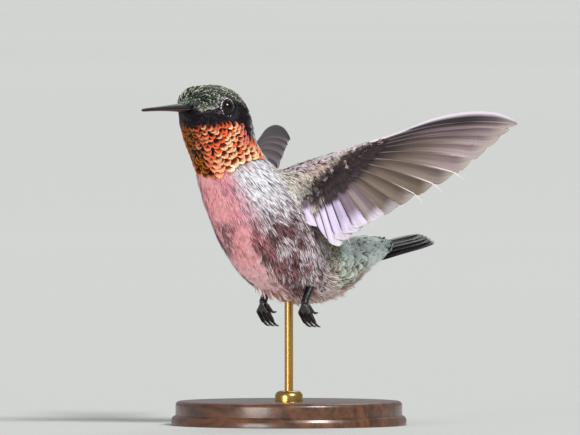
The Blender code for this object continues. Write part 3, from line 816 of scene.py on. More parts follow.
def lay(
    name, form, surface, roots, normals, ways, length, width, rise, dome, colours, spots, seed,
    shadow=(0.12, 0.5),
):
    """Plumes from their roots along their ways, following the surface. Returns the object."""
    rng = np.random.default_rng(seed)
    count = len(roots)
    shape, faces = form(count, rng)
    size = rng.uniform(*SIZES, count)
    length, width = length * size, width * size
    rise, dome = np.broadcast_to(rise, count), np.broadcast_to(dome, count)
    half_way = length[:, None] / 2
    second, second_normals = nearest(surface, roots + ways * half_way)
    third, third_normals = nearest(surface, second + unit(second - roots) * half_way)
    second_normals = facing(second_normals, normals)
    third_normals = facing(third_normals, second_normals)
    t = shape["along"][..., None]
    first = roots[:, None, :]
    second, third = second[:, None, :], third[:, None, :]
    path = first * (2 * t * t - 3 * t + 1) + second * (4 * t - 4 * t * t) + third * (2 * t * t - t)
    way = unit(first * (4 * t - 3) + second * (4 - 8 * t) + third * (4 * t - 1))
    low = np.minimum(2 * t, 1)
    high = np.maximum(2 * t - 1, 0)
    normal = normals[:, None, :] * (1 - low) + second_normals[:, None, :] * (low - high)
    normal = unit(normal + third_normals[:, None, :] * high)
    side = unit(np.cross(way, normal))
    roll = rng.normal(scale=ROLL, size=(count, 1)) * width[:, None] / 2
    height = roll * shape["across"] * shape["tip"]
    height = height - ROOT_SINK + rise[:, None] * shape["rise"] + dome[:, None] * shape["dome"]
    points = path + side * (shape["across"] * width[:, None] / 2)[..., None] + normal * height[..., None]
    base, edge, root = (c[:, None, :] for c in colours)
    tint = base + (edge - base) * shape["rim"][..., None]
    if "tone" in shape:
        tint = tint * shape["tone"][..., None]
    # Toward the root each plume is painted in its root colour: its own darker base, and painted shade under
    # the plumes that lie over it.
    dark = 1 - ramp(shape["tip"], *shadow)[..., None]
    tint = tint + (root - tint) * dark
    # A plume that would have to bend sharply, as at the rim of the skin, is left out.
    first_leg, last_leg = unit(second[:, 0] - roots), unit(third[:, 0] - second[:, 0])
    straight = ((first_leg * last_leg).sum(1) > STRAIGHT) & ((first_leg * ways).sum(1) > STRAIGHT)
    points, tint, spots = points[straight], tint[straight], spots[straight]
    shape = {key: value[straight] for key, value in shape.items()}
    count = len(points)
    corner_count = shape["across"].shape[1]
    pattern = np.concatenate([np.array(face) for face in faces])
    corners = (np.arange(count)[:, None] * corner_count + pattern[None]).reshape(-1)
    sizes = np.tile([len(face) for face in faces], count)
    chance = np.repeat(rng.random((count, 1)), corner_count, axis=1)
    vane = np.stack([shape["vane"], shape["tip"], chance], -1).reshape(-1, 3)
    patch = np.stack([shape["vane"] * 0.4, shape["tip"] - 0.5], -1) * PATCH
    map_places = (spots[:, None, :] + patch).reshape(-1, 2)
    return make_coat(name, points.reshape(-1, 3), corners, sizes, tint.reshape(-1, 3), vane, map_places)


def barb_group():
    """The fine barbs that run out slantwise from a feather's shaft, as a shade and a height."""
    group = bpy.data.node_groups.new("barbs", "ShaderNodeTree")
    group.interface.new_socket("Vane", in_out="INPUT", socket_type="NodeSocketVector")
    for label in ("Count", "Slant", "Depth", "Streak"):
        group.interface.new_socket(label, in_out="INPUT", socket_type="NodeSocketFloat")
    for label in ("Shade", "Height"):
        group.interface.new_socket(label, in_out="OUTPUT", socket_type="NodeSocketFloat")
    nodes = Nodes(group)
    given = nodes.add("NodeGroupInput").node.outputs
    split = nodes.add("ShaderNodeSeparateXYZ", {"Vector": given["Vane"]}).node.outputs

    def sums(operation, a, b=0.0):
        return nodes.add("ShaderNodeMath", {0: a, 1: b}, operation=operation)

    def together(x, y, z):
        return nodes.add("ShaderNodeCombineXYZ", {0: x, 1: y, 2: z})

    line = sums("SUBTRACT", split["Y"], sums("MULTIPLY", sums("ABSOLUTE", split["X"]), given["Slant"]))
    chance = sums("MULTIPLY", split["Z"], 40.0)
    ragged = sums("MULTIPLY", nodes.noise(together(split["X"], split["Y"], chance), 3.0), 5.0)
    wave = sums("SINE", sums("ADD", sums("MULTIPLY", line, given["Count"]), ragged))
    height = nodes.spread(sums("MULTIPLY_ADD", wave, 0.5), -0.5, 0.5, 0.0, 1.0)
    shade = sums("SUBTRACT", 1.0, sums("MULTIPLY", sums("SUBTRACT", 1.0, height), given["Depth"]))
    lengthwise = together(sums("MULTIPLY", split["X"], 4.0), sums("MULTIPLY", line, 0.9), chance)
    streaks = nodes.spread(nodes.noise(lengthwise, 1.6, 3.0), 0.62, 0.4, 0.0, 1.0)
    shade = sums("MULTIPLY", shade, sums("SUBTRACT", 1.0, sums("MULTIPLY", streaks, given["Streak"])))
    out = group.nodes.new("NodeGroupOutput")
    group.links.new(shade, out.inputs["Shade"])
    group.links.new(height, out.inputs["Height"])
    return group


barbs = barb_group()


def plumage(name, count, slant, depth, roughness, sheen, metallic=0.0, specular=0.35, streak=0.0):
    """A feather finish: the painted colour, darkened between the barbs, with their relief."""
    finish = Finish(name, {
        "Roughness": roughness, "Metallic": metallic, "Specular IOR Level": specular, "Sheen Weight": sheen,
        "Sheen Roughness": 0.4,
    })
    tint, vane = finish.painted("plume"), finish.painted("vane", "Vector")
    given = {"Vane": vane, "Count": count, "Slant": slant, "Depth": depth, "Streak": streak}
    lines = finish.add("ShaderNodeGroup", given, node_tree=barbs).node.outputs
    finish.feed("Base Color", finish.darkened(tint, lines["Shade"]))
    finish.emboss(lines["Height"], 0.35, BARB_DEPTH)
    return finish


MUZZLE_PULL = (9.0, 2.0)  # where feathers begin to point away from the bill, and where they do so wholly
EYE_CLEAR = 2.1  # kept free for the lids
STRAY_SMOOTH = 0.07
STRAY_ROUGH = 0.16
feather_points, feather_normals = skin_samples(CANDIDATES, 3)
places = Places(feather_points)
shares = regions(places)
names = list(shares)
strongest = np.argmax(np.stack([shares[n] for n in names]), axis=0)
body_count = sum(len(points) for points, _ in parts[:len(BODY)])
on_arm = (nearest_flesh(feather_points) >= body_count) & (np.abs(feather_points[:, 0]) > ARM_START)
lie = places.way
away = feather_points - (bill_base + head_front * 1.4)
face_pull = ramp(np.linalg.norm(away, axis=1), *MUZZLE_PULL)[:, None]
lie = lie * (1 - face_pull) + unit(away) * face_pull
rng = np.random.default_rng(4)
sleek = np.isin(strongest, [names.index("breast"), names.index("pink")])
stray = np.where(sleek, STRAY_SMOOTH, STRAY_ROUGH)
lie = laid_flat(lie + rng.normal(size=lie.shape) * stray[:, None], feather_normals)
coat_tints = markings(places)
chart = body_chart(places)
# Each region: form, spacing, length, width, rise of the tip, dome, and where the dark of the root ends,
# which is partly painted shade under the feathers above.
GROWTH = {
    "crown": (scale_form, 0.54, 1.9, 0.95, 0.46, 0.16, (0.45, 0.88)),
    "face": (scale_form, 0.46, 1.4, 0.8, 0.24, 0.08, (0.38, 0.78)),
    "gorget": (scale_form, 1.04, 2.5, 2.0, 0.66, 0.16, (0.58, 0.77)),
    "back": (scale_form, 0.75, 2.5, 1.6, 0.46, 0.16, (0.42, 0.85)),
    "rump": (scale_form, 0.8, 3.4, 1.8, 0.5, 0.22, (0.6, 0.8)),
    "breast": (loose_form(8, 0.25, 0.76, 0.4), 0.52, 4.2, 1.5, 0.34, 0.1, (0.34, 0.9)),
    "pink": (loose_form(9, 0.02, 0.93, 0.4), 0.58, 3.0, 1.8, 0.26, 0.1, (0.12, 0.6)),
    "flank": (loose_form(7, 0.36, 0.66, 0.8), 0.56, 4.4, 1.5, 0.62, 0.12, (0.36, 0.96)),
    "vent": (loose_form(6, 0.16, 0.78), 0.6, 4.8, 1.4, 1.0, 0.12, (0.2, 0.75)),
}
FINISH = {
    "crown": ("crown_green", plumage("crown_plumes", 22, 0.8, 0.45, 0.5, 0.05, 0.0, 0.2)),
    "face": ("crown_green", plumage("face_plumes", 18, 0.8, 0.4, 0.42, 0.0, 0.0, 0.15)),
    "gorget": ("gorget_red", plumage("gorget_plumes", 17, 0.9, 0.35, 0.4, 0.0, 0.4, 0.2)),
    "back": ("crown_green", plumage("back_plumes", 24, 0.8, 0.45, 0.5, 0.2)),
    "rump": ("rump_green", plumage("rump_plumes", 26, 0.8, 0.45, 0.45, 0.2)),
    "breast": ("breast_white", plumage("breast_plumes", 14, 0.3, 0.35, 0.7, 0.25)),
    "pink": ("breast_white", plumage("belly_plumes", 14, 0.3, 0.3, 0.7, 0.25)),
    "flank": ("belly_grey", plumage("flank_plumes", 14, 0.3, 0.4, 0.7, 0.25)),
    "vent": ("belly_grey", plumage("vent_plumes", 14, 0.3, 0.3, 0.7, 0.25)),
}
clear_of_eyes = np.ones(len(feather_points), bool)
for side in ("left", "right"):
    off_eye = feather_points - eye_places[side]
    apart = np.linalg.norm(off_eye, axis=1)
    outside = (off_eye * feather_normals).sum(1) > 0.1 * apart
    behind = (off_eye * lie).sum(1) > 0
    clear_of_eyes &= (apart > EYE_CLEAR) | (outside & behind)
for number, (region, growth) in enumerate(GROWTH.items()):
    form, gap, long, wide, rise, dome, shadow = growth
    mine = np.flatnonzero((strongest == names.index(region)) & ~on_arm & clear_of_eyes)
    scale = np.ones(len(mine))
    if region == "gorget":
        scale = np.interp(places.up[mine], (-12, -4), (1.1, 0.6))
    if region in ("crown", "face"):
        scale = np.interp(places.station[mine], (0, 0.8), (0.7, 1.0))
    kept = thinned(feather_points[mine], gap * scale)
    at, scale = mine[kept], scale[kept]
    raised = ramp(places.front[at], 2.2, 4.2) * ramp(places.up[at], 0.2, 1.6)  # the forehead bristles
    rise = rise * scale * (1 + (region == "crown") * 1.7 * raised)
    piece = lay(
        "coat_" + region, form, skin_surface, feather_points[at], feather_normals[at], lie[at],
        long * scale, wide * scale, rise, dome * scale, coat_tints[:, at], chart[at], 20 + number, shadow,
    )
    slot, finish = FINISH[region]
    fit(piece, finish, slot)

# Loose downy tufts stand out from the vent and hang between and round the thighs.
TUFT = dyes((255, 220, 208), (255, 248, 240), (186, 128, 122))
low_down = (places.station > 4.0) & (places.round > 122)
low_down = low_down | (places.station > 3.8) & (places.round > 155)
mine = np.flatnonzero(low_down & (places.station < 4.75) & (feather_points[:, 2] < 40))
at = mine[thinned(feather_points[mine], 1.0)]
down_way = lie[at] + np.array((0, 0.1, -0.45)) + 0.4 * feather_normals[at]
down_way = unit(down_way + rng.normal(scale=0.3, size=(len(at), 3)))
rosy = ramp(places.round[at], 140, 165)
tufts = lay(
    "coat_tufts", loose_form(6, 0.12, 0.82), skin_surface, feather_points[at], feather_normals[at], down_way,
    rng.uniform(3.2, 5.2, len(at)), 1.2, rng.uniform(0.6, 1.8, len(at)), 0.12,
    blend(TUFT, VENT, rosy), chart[at], 50, (0.15, 0.7),
)
fit(tufts, FINISH["vent"][1], "belly_grey")

# -----------------------------------------------------------------------------------------------------------
# The eyes: glass balls, dark brown round a black pupil, set into the sockets and held by modelled lids. A
# ring of tiny pale-tipped scale feathers grows round each lid.

BALL_RINGS = 40
BALL_STEPS = 56
PUPIL_ANGLE = 27
IRIS_ANGLE = 50
LID_OPENING = 50
RING_ROWS = 7
RING_STEP = 5.7
RING_PALENESS = (0.62, 0.0, 0.4, 0.15, 0.0, -0.1, -0.1)
EYE_FORWARD = 0.2  # how far the eyes look forward
EYE_UPWARD = 0.14
# How far each ring of the lid stands out from the opening, in degrees, and from the middle of the ball.
LID_PROFILE = (
    (0, 0.99), (0.3, 1.02), (1.5, 1.03), (5, 1.04), (11, 1.05), (19, 1.075), (28, 1.12), (36, 1.18),
    (43, 1.22),
)
LID_OVAL = 3.5
LID_STEPS = 72
CORNEA = 0.06  # how far the front of the ball bulges, as a share of its radius


class EyeFrame:
    """Polar places round one eye: an angle off its outward axis and a turn about it, both in degrees."""

    def __init__(self, side):
        sign = 1 if side == "left" else -1
        low, high = corners_mm("eye_" + side)
        self.centre = (low + high) / 2
        self.radius = (high[2] - low[2]) / 2
        self.axis = unit(head_left * sign + head_front * EYE_FORWARD + head_up * EYE_UPWARD)
        self.fore = unit(head_front - self.axis * (head_front @ self.axis))
        self.up = np.cross(self.fore, self.axis) * -sign

    def at(self, angle, turn, distance):
        angle, turn = np.radians(angle), np.radians(turn)
        round_way = np.multiply.outer(np.cos(turn), self.fore) + np.multiply.outer(np.sin(turn), self.up)
        way = self.axis * np.cos(angle)[..., None] + round_way * np.sin(angle)[..., None]
        return self.centre + way * (self.radius * distance)[..., None]


def eye_ball(side):
    """A glass ball with a fuller front, painted from behind with its pupil and iris."""
    eye = EyeFrame(side)
    turns = np.arange(BALL_STEPS) * 360 / BALL_STEPS
    angles = np.linspace(0.5, 150, BALL_RINGS)
    grid_angle, grid_turn = np.meshgrid(angles, turns, indexing="ij")
    bulge = 1 + CORNEA * np.exp(-((grid_angle / 34) ** 2))
    points = eye.at(grid_angle, grid_turn, bulge).reshape(-1, 3)
    faces = grid_faces(BALL_RINGS, BALL_STEPS)
    faces.append(list(range(BALL_STEPS))[::-1])
    faces.append([(BALL_RINGS - 1) * BALL_STEPS + i for i in range(BALL_STEPS)])
    ball = object_from("eyeball_" + side, points, faces)
    angle = grid_angle.reshape(-1)
    streak = np.tile(0.75 + 0.5 * np.random.default_rng(8).random(BALL_STEPS), BALL_RINGS)
    iris = blend(srgb(22, 12, 9), srgb(10, 6, 6), ramp(angle, PUPIL_ANGLE + 8, IRIS_ANGLE))
    paint(ball.data, "tint", washed(srgb(3, 2, 4), (
        (iris * streak[:, None], ramp(angle, PUPIL_ANGLE - 2, PUPIL_ANGLE + 2)),
        (srgb(10, 8, 8), ramp(angle, IRIS_ANGLE - 4, IRIS_ANGLE + 2)),
    )))
    return ball


def eye_lid(side):
    """The bare lid round an eye, from the edge of its opening back under the feathers."""
    eye = EyeFrame(side)
    turns = np.arange(LID_STEPS) * 360 / LID_STEPS
    opening = LID_OPENING - LID_OVAL * np.abs(np.sin(np.radians(turns))) ** 1.5
    rows = []
    for i, (step, distance) in enumerate(LID_PROFILE):
        crease = 0.012 * np.sin(np.radians(turns * 9 + 40 * i)) * (0 < i < 7)
        rows.append(eye.at(opening + step, turns, distance + crease))
    return object_from("lid_" + side, np.concatenate(rows), grid_faces(len(rows), len(turns)))


glass = Finish("eye_glass", {"Roughness": 0.05, "IOR": 1.38})
tint = glass.painted("tint")
cloud = glass.spread(glass.noise(glass.place(), 1500.0), 0.0, 1.0, 0.8, 1.2)
glass.feed("Base Color", glass.darkened(tint, cloud))
lid_skin = Finish("lid_skin", {"Roughness": 0.5, "Specular IOR Level": 0.2})
wrinkle = lid_skin.add("ShaderNodeTexVoronoi", {"Vector": lid_skin.place(), "Scale": 6000.0}, "Distance")
lid_skin.feed("Base Color", lid_skin.mixed(wrinkle, (4, 3, 5), (26, 22, 30)))
lid_skin.emboss(wrinkle, 0.5, 0.00004)
ring_plumes = plumage("eye_ring_plumes", 14, 0.8, 0.3, 0.5, 0.2)
for side in ("left", "right"):
    fit(eye_ball(side), glass, "eye_black", "eye_" + side)
    lid = eye_lid(side)
    fit(lid, lid_skin, "eye_black")
    eye = EyeFrame(side)
    roots, ways, rounds = [], [], []
    rng = np.random.default_rng(37)
    for row in range(RING_ROWS):
        count = 38 + 3 * row
        angle = LID_OPENING + 3 + RING_STEP * row + rng.uniform(-1.6, 1.6, count)
        turns = (np.arange(count) + 0.5 * (row % 2) + rng.uniform(-0.3, 0.3, count)) * 360 / count
        here = eye.at(angle, turns, np.full(count, 1.3))
        beyond = eye.at(angle + 12.0, turns, np.full(count, 1.3))
        roots.append(here)
        ways.append(unit(beyond - here - head_front * rng.uniform(0.05, 0.35, count)[:, None]))
        rounds.append(turns)
    roots, ways = np.concatenate(roots), np.concatenate(ways)
    surface = surface_of([v.co / MM for v in lid.data.vertices], [p.vertices for p in lid.data.polygons])
    away = unit(roots - eye.centre)
    hits = [surface.ray_cast(p, -out) for p, out in zip(roots, away)]
    roots = np.array([hit[0] for hit in hits])
    fresh = np.random.default_rng(31).random(len(roots))
    row_number = np.repeat(np.arange(RING_ROWS), [len(turns) for turns in rounds])
    brow = np.exp(-(((np.concatenate(rounds) - 80) / 55) ** 2))
    bright = np.array(RING_PALENESS)[row_number] - 0.7 * brow
    size = np.interp(row_number, (0, 2, 4, 6), (0.66, 1.0, 1.1, 1.5))
    pale = blend(srgb(24, 18, 24), srgb(240, 236, 240), ramp(fresh + bright, 0.75, 1.05))
    colours = [blend(pale, srgb(14, 9, 14), np.interp(row_number, (0, 1), (0.3, 0.8))), pale, pale * 0.1]
    lashes = lay(
        "eye_ring_" + side, scale_form, surface, roots, away, ways, 0.74 * size, 0.44 * size,
        0.27 * size, 0.05, colours, body_chart(Places(roots)), 41,
    )
    fit(lashes, ring_plumes, "crown_green")

# -----------------------------------------------------------------------------------------------------------
# The bill: two horn halves, drawn out to a needle and bent a little down, with a ridge along the top and a
# nostril flap near the face. They close on one another along a fine dark line.

BILL_RINGS = 72
BILL_SIDE_STEPS = 18
BILL_HALF_WIDTH = 1.15
BILL_HALF_HEIGHTS = {"upper": 0.9, "lower": 0.72}
BILL_SLIT = 0.07
BILL_SINK = 1.2  # how far the horn runs back under the face
BILL_DROOP = 0.3
BILL_POINT = 0.93  # where the taper of the very tip begins
SLIT_STEPS = 4


def bill_taper(share):
    """The bill's width at a share of its length, against its width at the face."""
    return 0.3 + 0.7 * (1 - share) ** 1.6


def tube_faces(rings, steps):
    """Faces of a tube with both its ends closed."""
    last = (rings - 1) * steps
    return [*grid_faces(rings, steps), range(steps), range(last + steps - 1, last - 1, -1)]


def bill_piece(name, rise):
    """One horn half: its outline at each ring, from the root under the face to the tip. rise is 1 or -1."""
    points, _ = node_mesh("bill_" + name)
    reach = (points - eye_middle) @ head_front
    start, length = reach.min(), reach.max() - reach.min()
    tip = points[np.argmax(reach)]
    rows = []
    for t in np.linspace(-BILL_SINK / length, 1, BILL_RINGS):
        inside = max(t, 0.0)
        taper = bill_taper(inside) * (1 + 0.55 * min(t, 0) * length / BILL_SINK)
        if inside > BILL_POINT:
            taper *= max(0.05, math.sqrt(1 - ((inside - BILL_POINT) / 0.0705) ** 2))
        middle = eye_middle + head_front * (start + length * t)
        side_shift = ((tip - eye_middle) @ head_left) * inside
        droop = -BILL_DROOP * inside ** 2
        ridge = 0.14 * ramp(inside, 0.5, 0.0)
        nostril = ramp(inside, 0.6, 0.1)
        outline = []
        for i in range(BILL_SIDE_STEPS + 1):
            angle = math.pi * i / BILL_SIDE_STEPS
            off_ridge = angle - math.pi / 2
            swell = math.sin(angle) ** 0.85 + ridge * math.exp(-(off_ridge / 0.3) ** 2)
            groove = 0.07 * math.exp(-((abs(off_ridge) - 0.85) / 0.16) ** 2) * nostril
            up = BILL_SLIT / max(taper, 0.3) + BILL_HALF_HEIGHTS[name] * max(0, swell - groove)
            outline.append((math.cos(angle) * BILL_HALF_WIDTH, rise * up))
        for i in range(1, SLIT_STEPS):
            up = BILL_SLIT * (1 - math.sin(math.pi * i / SLIT_STEPS))
            outline.append(((1 - 2 * i / SLIT_STEPS) * -BILL_HALF_WIDTH, rise * up))
        rows.append(np.array([
            middle + head_left * (across * taper + side_shift) + head_up * (up * taper + droop)
            for across, up in outline
        ]))
    columns = len(rows[0])
    faces = tube_faces(BILL_RINGS, columns)
    if rise < 0:
        faces = [face[::-1] for face in faces]
    return object_from("horn_" + name, np.concatenate(rows), faces)


horn = Finish("bill_horn", {"Coat Weight": 0.35, "Coat Roughness": 0.2})
lengthwise = horn.add("ShaderNodeMapping", {
    "Vector": horn.place(), "Rotation": (0, 0, math.atan2(-head_front[0], -head_front[1])),
    "Scale": (1.0, 0.06, 1.0),
})
fibre = horn.noise(lengthwise, 5200.0, 3.0)
horn.feed("Base Color", horn.mixed(fibre, (9, 8, 10), (40, 36, 42)))
horn.feed("Roughness", horn.spread(fibre, 0.3, 0.7, 0.26, 0.4))
horn.emboss(fibre, 0.25, 0.00004)
for name, rise in (("upper", 1), ("lower", -1)):
    fit(bill_piece(name, rise), horn, "bill_black", "bill_" + name)

# Short feathers of forehead and chin run out over the root of the horn and leave its sides bare.
MUZZLE_BACK = -1.6
MUZZLE_FRONT = 2.5
MUZZLE_ROWS = 18
MUZZLE_COLUMNS = 60
MUZZLE_CANDIDATES = 3000
MUZZLE_GAP = 0.4
muzzle_steps = np.linspace(MUZZLE_FRONT, MUZZLE_BACK, MUZZLE_ROWS)
muzzle_turns = np.arange(MUZZLE_COLUMNS) * 2 * math.pi / MUZZLE_COLUMNS
muzzle_ways = np.outer(np.cos(muzzle_turns), head_left) + np.outer(np.sin(muzzle_turns), head_up)


def skin_reach(step):
    """How far the skin is from the bill's axis, all round it, a step ahead of the horn's root."""
    centre = eye_middle + head_front * (bill_reach.min() + step)
    found = [skin_surface.ray_cast(centre, way)[3] for way in muzzle_ways]
    return centre, np.array([0.0 if far is None or far > 6 else far for far in found])


_, muzzle_skin = skin_reach(MUZZLE_BACK)
muzzle = []
for step in muzzle_steps:
    centre, skin_there = skin_reach(step)
    taper = bill_taper(max(step, 0) / (bill_reach.max() - bill_reach.min()))
    half_wide, half_high = BILL_HALF_WIDTH * taper, (BILL_HALF_HEIGHTS["upper"] + BILL_SLIT) * taper
    horn_there = 1 / np.hypot(np.cos(muzzle_turns) / half_wide, np.sin(muzzle_turns) / half_high) + 0.05
    share = (MUZZLE_FRONT - step) / (MUZZLE_FRONT - MUZZLE_BACK)
    reach = horn_there + (np.maximum(muzzle_skin, horn_there) - horn_there) * share ** 2.2
    muzzle.append(centre + muzzle_ways * np.maximum(reach, skin_there + 0.03)[:, None])
muzzle = np.array(muzzle)
muzzle_surface = surface_of(muzzle.reshape(-1, 3), grid_faces(MUZZLE_ROWS, MUZZLE_COLUMNS))
rng = np.random.default_rng(45)
row = rng.uniform(0, MUZZLE_ROWS - 3.0, MUZZLE_CANDIDATES)
column = rng.uniform(0, MUZZLE_COLUMNS, MUZZLE_CANDIDATES)
step = np.interp(row, np.arange(MUZZLE_ROWS), muzzle_steps)
rise = np.sin(column * 2 * math.pi / MUZZLE_COLUMNS)


def muzzle_at(row, column):
    """Places on the muzzle at fractional rows and columns."""
    low, left = row.astype(int), column.astype(int)
    right = (left + 1) % MUZZLE_COLUMNS
    up, over = (row - low)[:, None], (column - left)[:, None]
    near = muzzle[low, left] * (1 - over) + muzzle[low, right] * over
    far = muzzle[low + 1, left] * (1 - over) + muzzle[low + 1, right] * over
    return near * (1 - up) + far * up


roots = muzzle_at(row, column)
ways = unit(muzzle_at(row + 1, column) - roots)
_, normals = nearest(muzzle_surface, roots)
outward = roots - (eye_middle + head_front * (bill_reach.min() + step)[:, None])
normals = facing(normals, outward)
above = rise > np.interp(step, (-1.6, 0.4, 2.4), (-0.05, 0.4, 0.93))
below = -rise > np.interp(step, (-1.6, 0.4, 1.8), (0.1, 0.45, 0.95))
for name, region, mine in (("forehead", "crown", above), ("chin", "face", below)):
    mine = np.flatnonzero(mine)
    at = mine[thinned(roots[mine], MUZZLE_GAP)]
    here = Places(roots[at])
    plumes = lay(
        "coat_" + name, scale_form, muzzle_surface, roots[at], normals[at], ways[at], 1.15, 0.66, 0.2, 0.06,
        markings(here), body_chart(here), 46, GROWTH[region][6],
    )
    fit(plumes, FINISH[region][1], "crown_green")

# -----------------------------------------------------------------------------------------------------------
# The feet: small, black and bare, with plated toes that hang half curled in flight, and sharp horn claws.
# Each is cast in one piece over a wire that runs up into the body.

FOOT_GRAIN = 0.11
PLATE_PITCH = 0.42
PLATE_DEPTH = 0.016
TOES = ("inner", "middle", "outer", "hind")
SKIN_OVER_BONE = 0.06
HEEL_RADII = (0.8, 0.8, 0.78, 0.78)
TOE_RADII = (0.48, 0.48, 0.43, 0.24)


def tube(path, radii, flatten, normal, steps):
    """A tapered tube along a path, flattened along one direction."""
    way = unit(np.gradient(path, axis=0))
    side = unit(np.cross(way, normal))
    up = np.cross(side, way)
    rows = []
    for i in range(steps):
        angle = 2 * math.pi * i / steps
        rows.append(path + (side * math.cos(angle) + up * math.sin(angle) * flatten) * radii[:, None])
    return np.stack(rows, 1).reshape(-1, 3), tube_faces(len(path), steps)


def bridge(start, end, radii):
    """A tube from one point to another and a little way beyond both."""
    way = unit(end - start)
    path = np.stack([start - 0.3 * way, start, end, end + 0.3 * way])
    return tube(path, np.array(radii), 1.0, np.array((1.0, 0, 0)), 12)


def foot_piece(side):
    """Leg and foot as one skin that closes over the roots of the claws, with plates down its front."""
    parts = [grown(node + side, SKIN_OVER_BONE) for node in ("leg_", "foot_")]
    leg, foot = parts[0][0], parts[1][0]
    heel = leg[leg[:, 2] < leg[:, 2].mean()].mean(0)
    top = foot[np.linalg.norm(foot - heel, axis=1) < 1.0].mean(0)
    parts.append(bridge(heel, top, HEEL_RADII))
    for toe in TOES:
        claw, _ = node_mesh("claw_" + side + "_" + toe)
        gaps = np.linalg.norm(claw[:, None] - foot[None], axis=2).min(1)
        away = np.linalg.norm(claw - claw[np.argmax(gaps)], axis=1)
        root = claw[away > 0.8 * away.max()].mean(0)
        end = foot[np.linalg.norm(foot - root, axis=1) < 0.8].mean(0)
        parts.append(bridge(end, root, TOE_RADII))
    points, triangles = remeshed(parts, FOOT_GRAIN)
    points = smoothed(points, triangles, 6)
    normals = normals_of(points, triangles)
    along = points[:, 2] * 0.85 - points[:, 1] * 0.5
    plates = (along / PLATE_PITCH) % 1
    step = PLATE_DEPTH * (plates ** 3 - 0.4) * ramp(-normals[:, 1] + 0.3 * normals[:, 2], -0.2, 0.4)
    points = points + normals * (step - 0.03)[:, None]
    return object_from("foot_skin_" + side, points, triangles.tolist())


scales = Finish("foot_scales", {"Roughness": 0.3, "Coat Weight": 0.4, "Coat Roughness": 0.15})
grainy = scales.add("ShaderNodeTexVoronoi", {"Vector": scales.place(), "Scale": 4200.0}, "Distance")
scales.feed("Base Color", scales.mixed(grainy, (16, 12, 13), (4, 3, 4)))
scales.emboss(grainy, 0.4, 0.00005)
for side in ("left", "right"):
    fit(foot_piece(side), scales, "foot_black", "leg_" + side, "foot_" + side)
    for toe in TOES:
        node = "claw_" + side + "_" + toe
        points, triangles = evaluated(*node_mesh(node), "SUBSURF", levels=2, render_levels=2)
        fit(object_from("horn_" + node, points, triangles.tolist()), horn, "foot_black", node)

# -----------------------------------------------------------------------------------------------------------
# The wings: ten primaries and six secondaries in each, single feathers with a horn shaft and a hollow vane,
# set into the back of the arm so that each lies over the next one in. Rows of coverts hide their roots.

PRIMARIES = 10
SECONDARIES = 6
REMIGES = PRIMARIES + SECONDARIES
OUTERMOST = REMIGES - 1
# Flat places on a wing, as (s, k): s along the span from the shoulder, k towards the trailing edge.
HAND_MIDDLE = (13.8, -1.9)
WING_TIP = (45.23, 0.09)
WING_LOW = (5.44, 14.83)
TIP_OUT = -1.26  # how far those two places lie off the flat, to the underside
LOW_OUT = 1.14
# The tips and the roots of the flight feathers, outward from the body, and the wing's leading edge.
TIP_LINE = (
    (3.0, 10.0), (4.9, 14.3), (8.2, 13.1), (12.5, 11.2), (18.0, 9.5), (23.4, 7.6),
    (30.6, 5.6), (37.4, 2.6), (42.0, 0.7), (45.2, -0.5),
)
ROOT_LINE = ((3.0, 4.4), (6.2, 3.15), (9.2, 1.75), (11.6, 0.4), (13.9, -0.8), (16.1, -2.0), (16.9, -2.75))
LEADING_EDGE = (
    (17.7, -3.75), (22.0, -3.95), (26.5, -4.45), (31.0, -4.95), (35.0, -4.95), (39.0, -4.5), (42.5, -3.4),
    (45.0, -1.8),
)
# The arm and hand: their front, back and thickness at places along the span.
ARM_SPANS = (-2.4, 2.0, 6.0, 11.2, 14.2, 17.0)
ARM_FRONTS = (-1.7, -2.5, -3.0, -3.4, -3.7, -3.9)
ARM_BACKS = (3.9, 4.1, 2.8, 0.4, -0.9, -2.3)
ARM_THICKS = (2.0, 2.1, 1.7, 1.1, 0.8, 0.5)
BOW = 2.0  # how far the shaft of the outermost feather is bowed
VANE_ROWS = 64
VANE_STEPS = (-1, -0.85, -0.5, -0.15, 0.0, 0.15, 0.4, 0.65, 0.85, 0.95, 1)
VANE_HALF = 0.035  # half the thickness of a vane at its shaft
VANE_WIDEST = 3.4
VANE_SHARPNESS = ((0, 2, 6, 11, 15), (0.3, 0.12, 0.05, 0.06, 0.16))
SLITS = 2  # in each vane
LAP_TILT = 0.1
SHAFT_ENDS = (0.98, 1.03, 1.0, 1.06, 0.99, 1.04)  # how far a bare shaft runs, as a share of its feather
SHAFT_SIDES = 6
SPIKED = range(8, 12)  # the feathers whose white shafts stand out bare past the vane
SPIKE_END = 1.09
SPIKE_BEND = 11
SHAFT_STEPS = 30


CURL = 1.3
TIP_BEND = 1.6


def blade_rise(s, k):
    """The wing's hollow: the trailing edge curls to the underside and the tip bends to the upper side."""
    return CURL * ((k + 4.0) / 18.0) ** 2 - TIP_BEND * (s / 45.2) ** 3


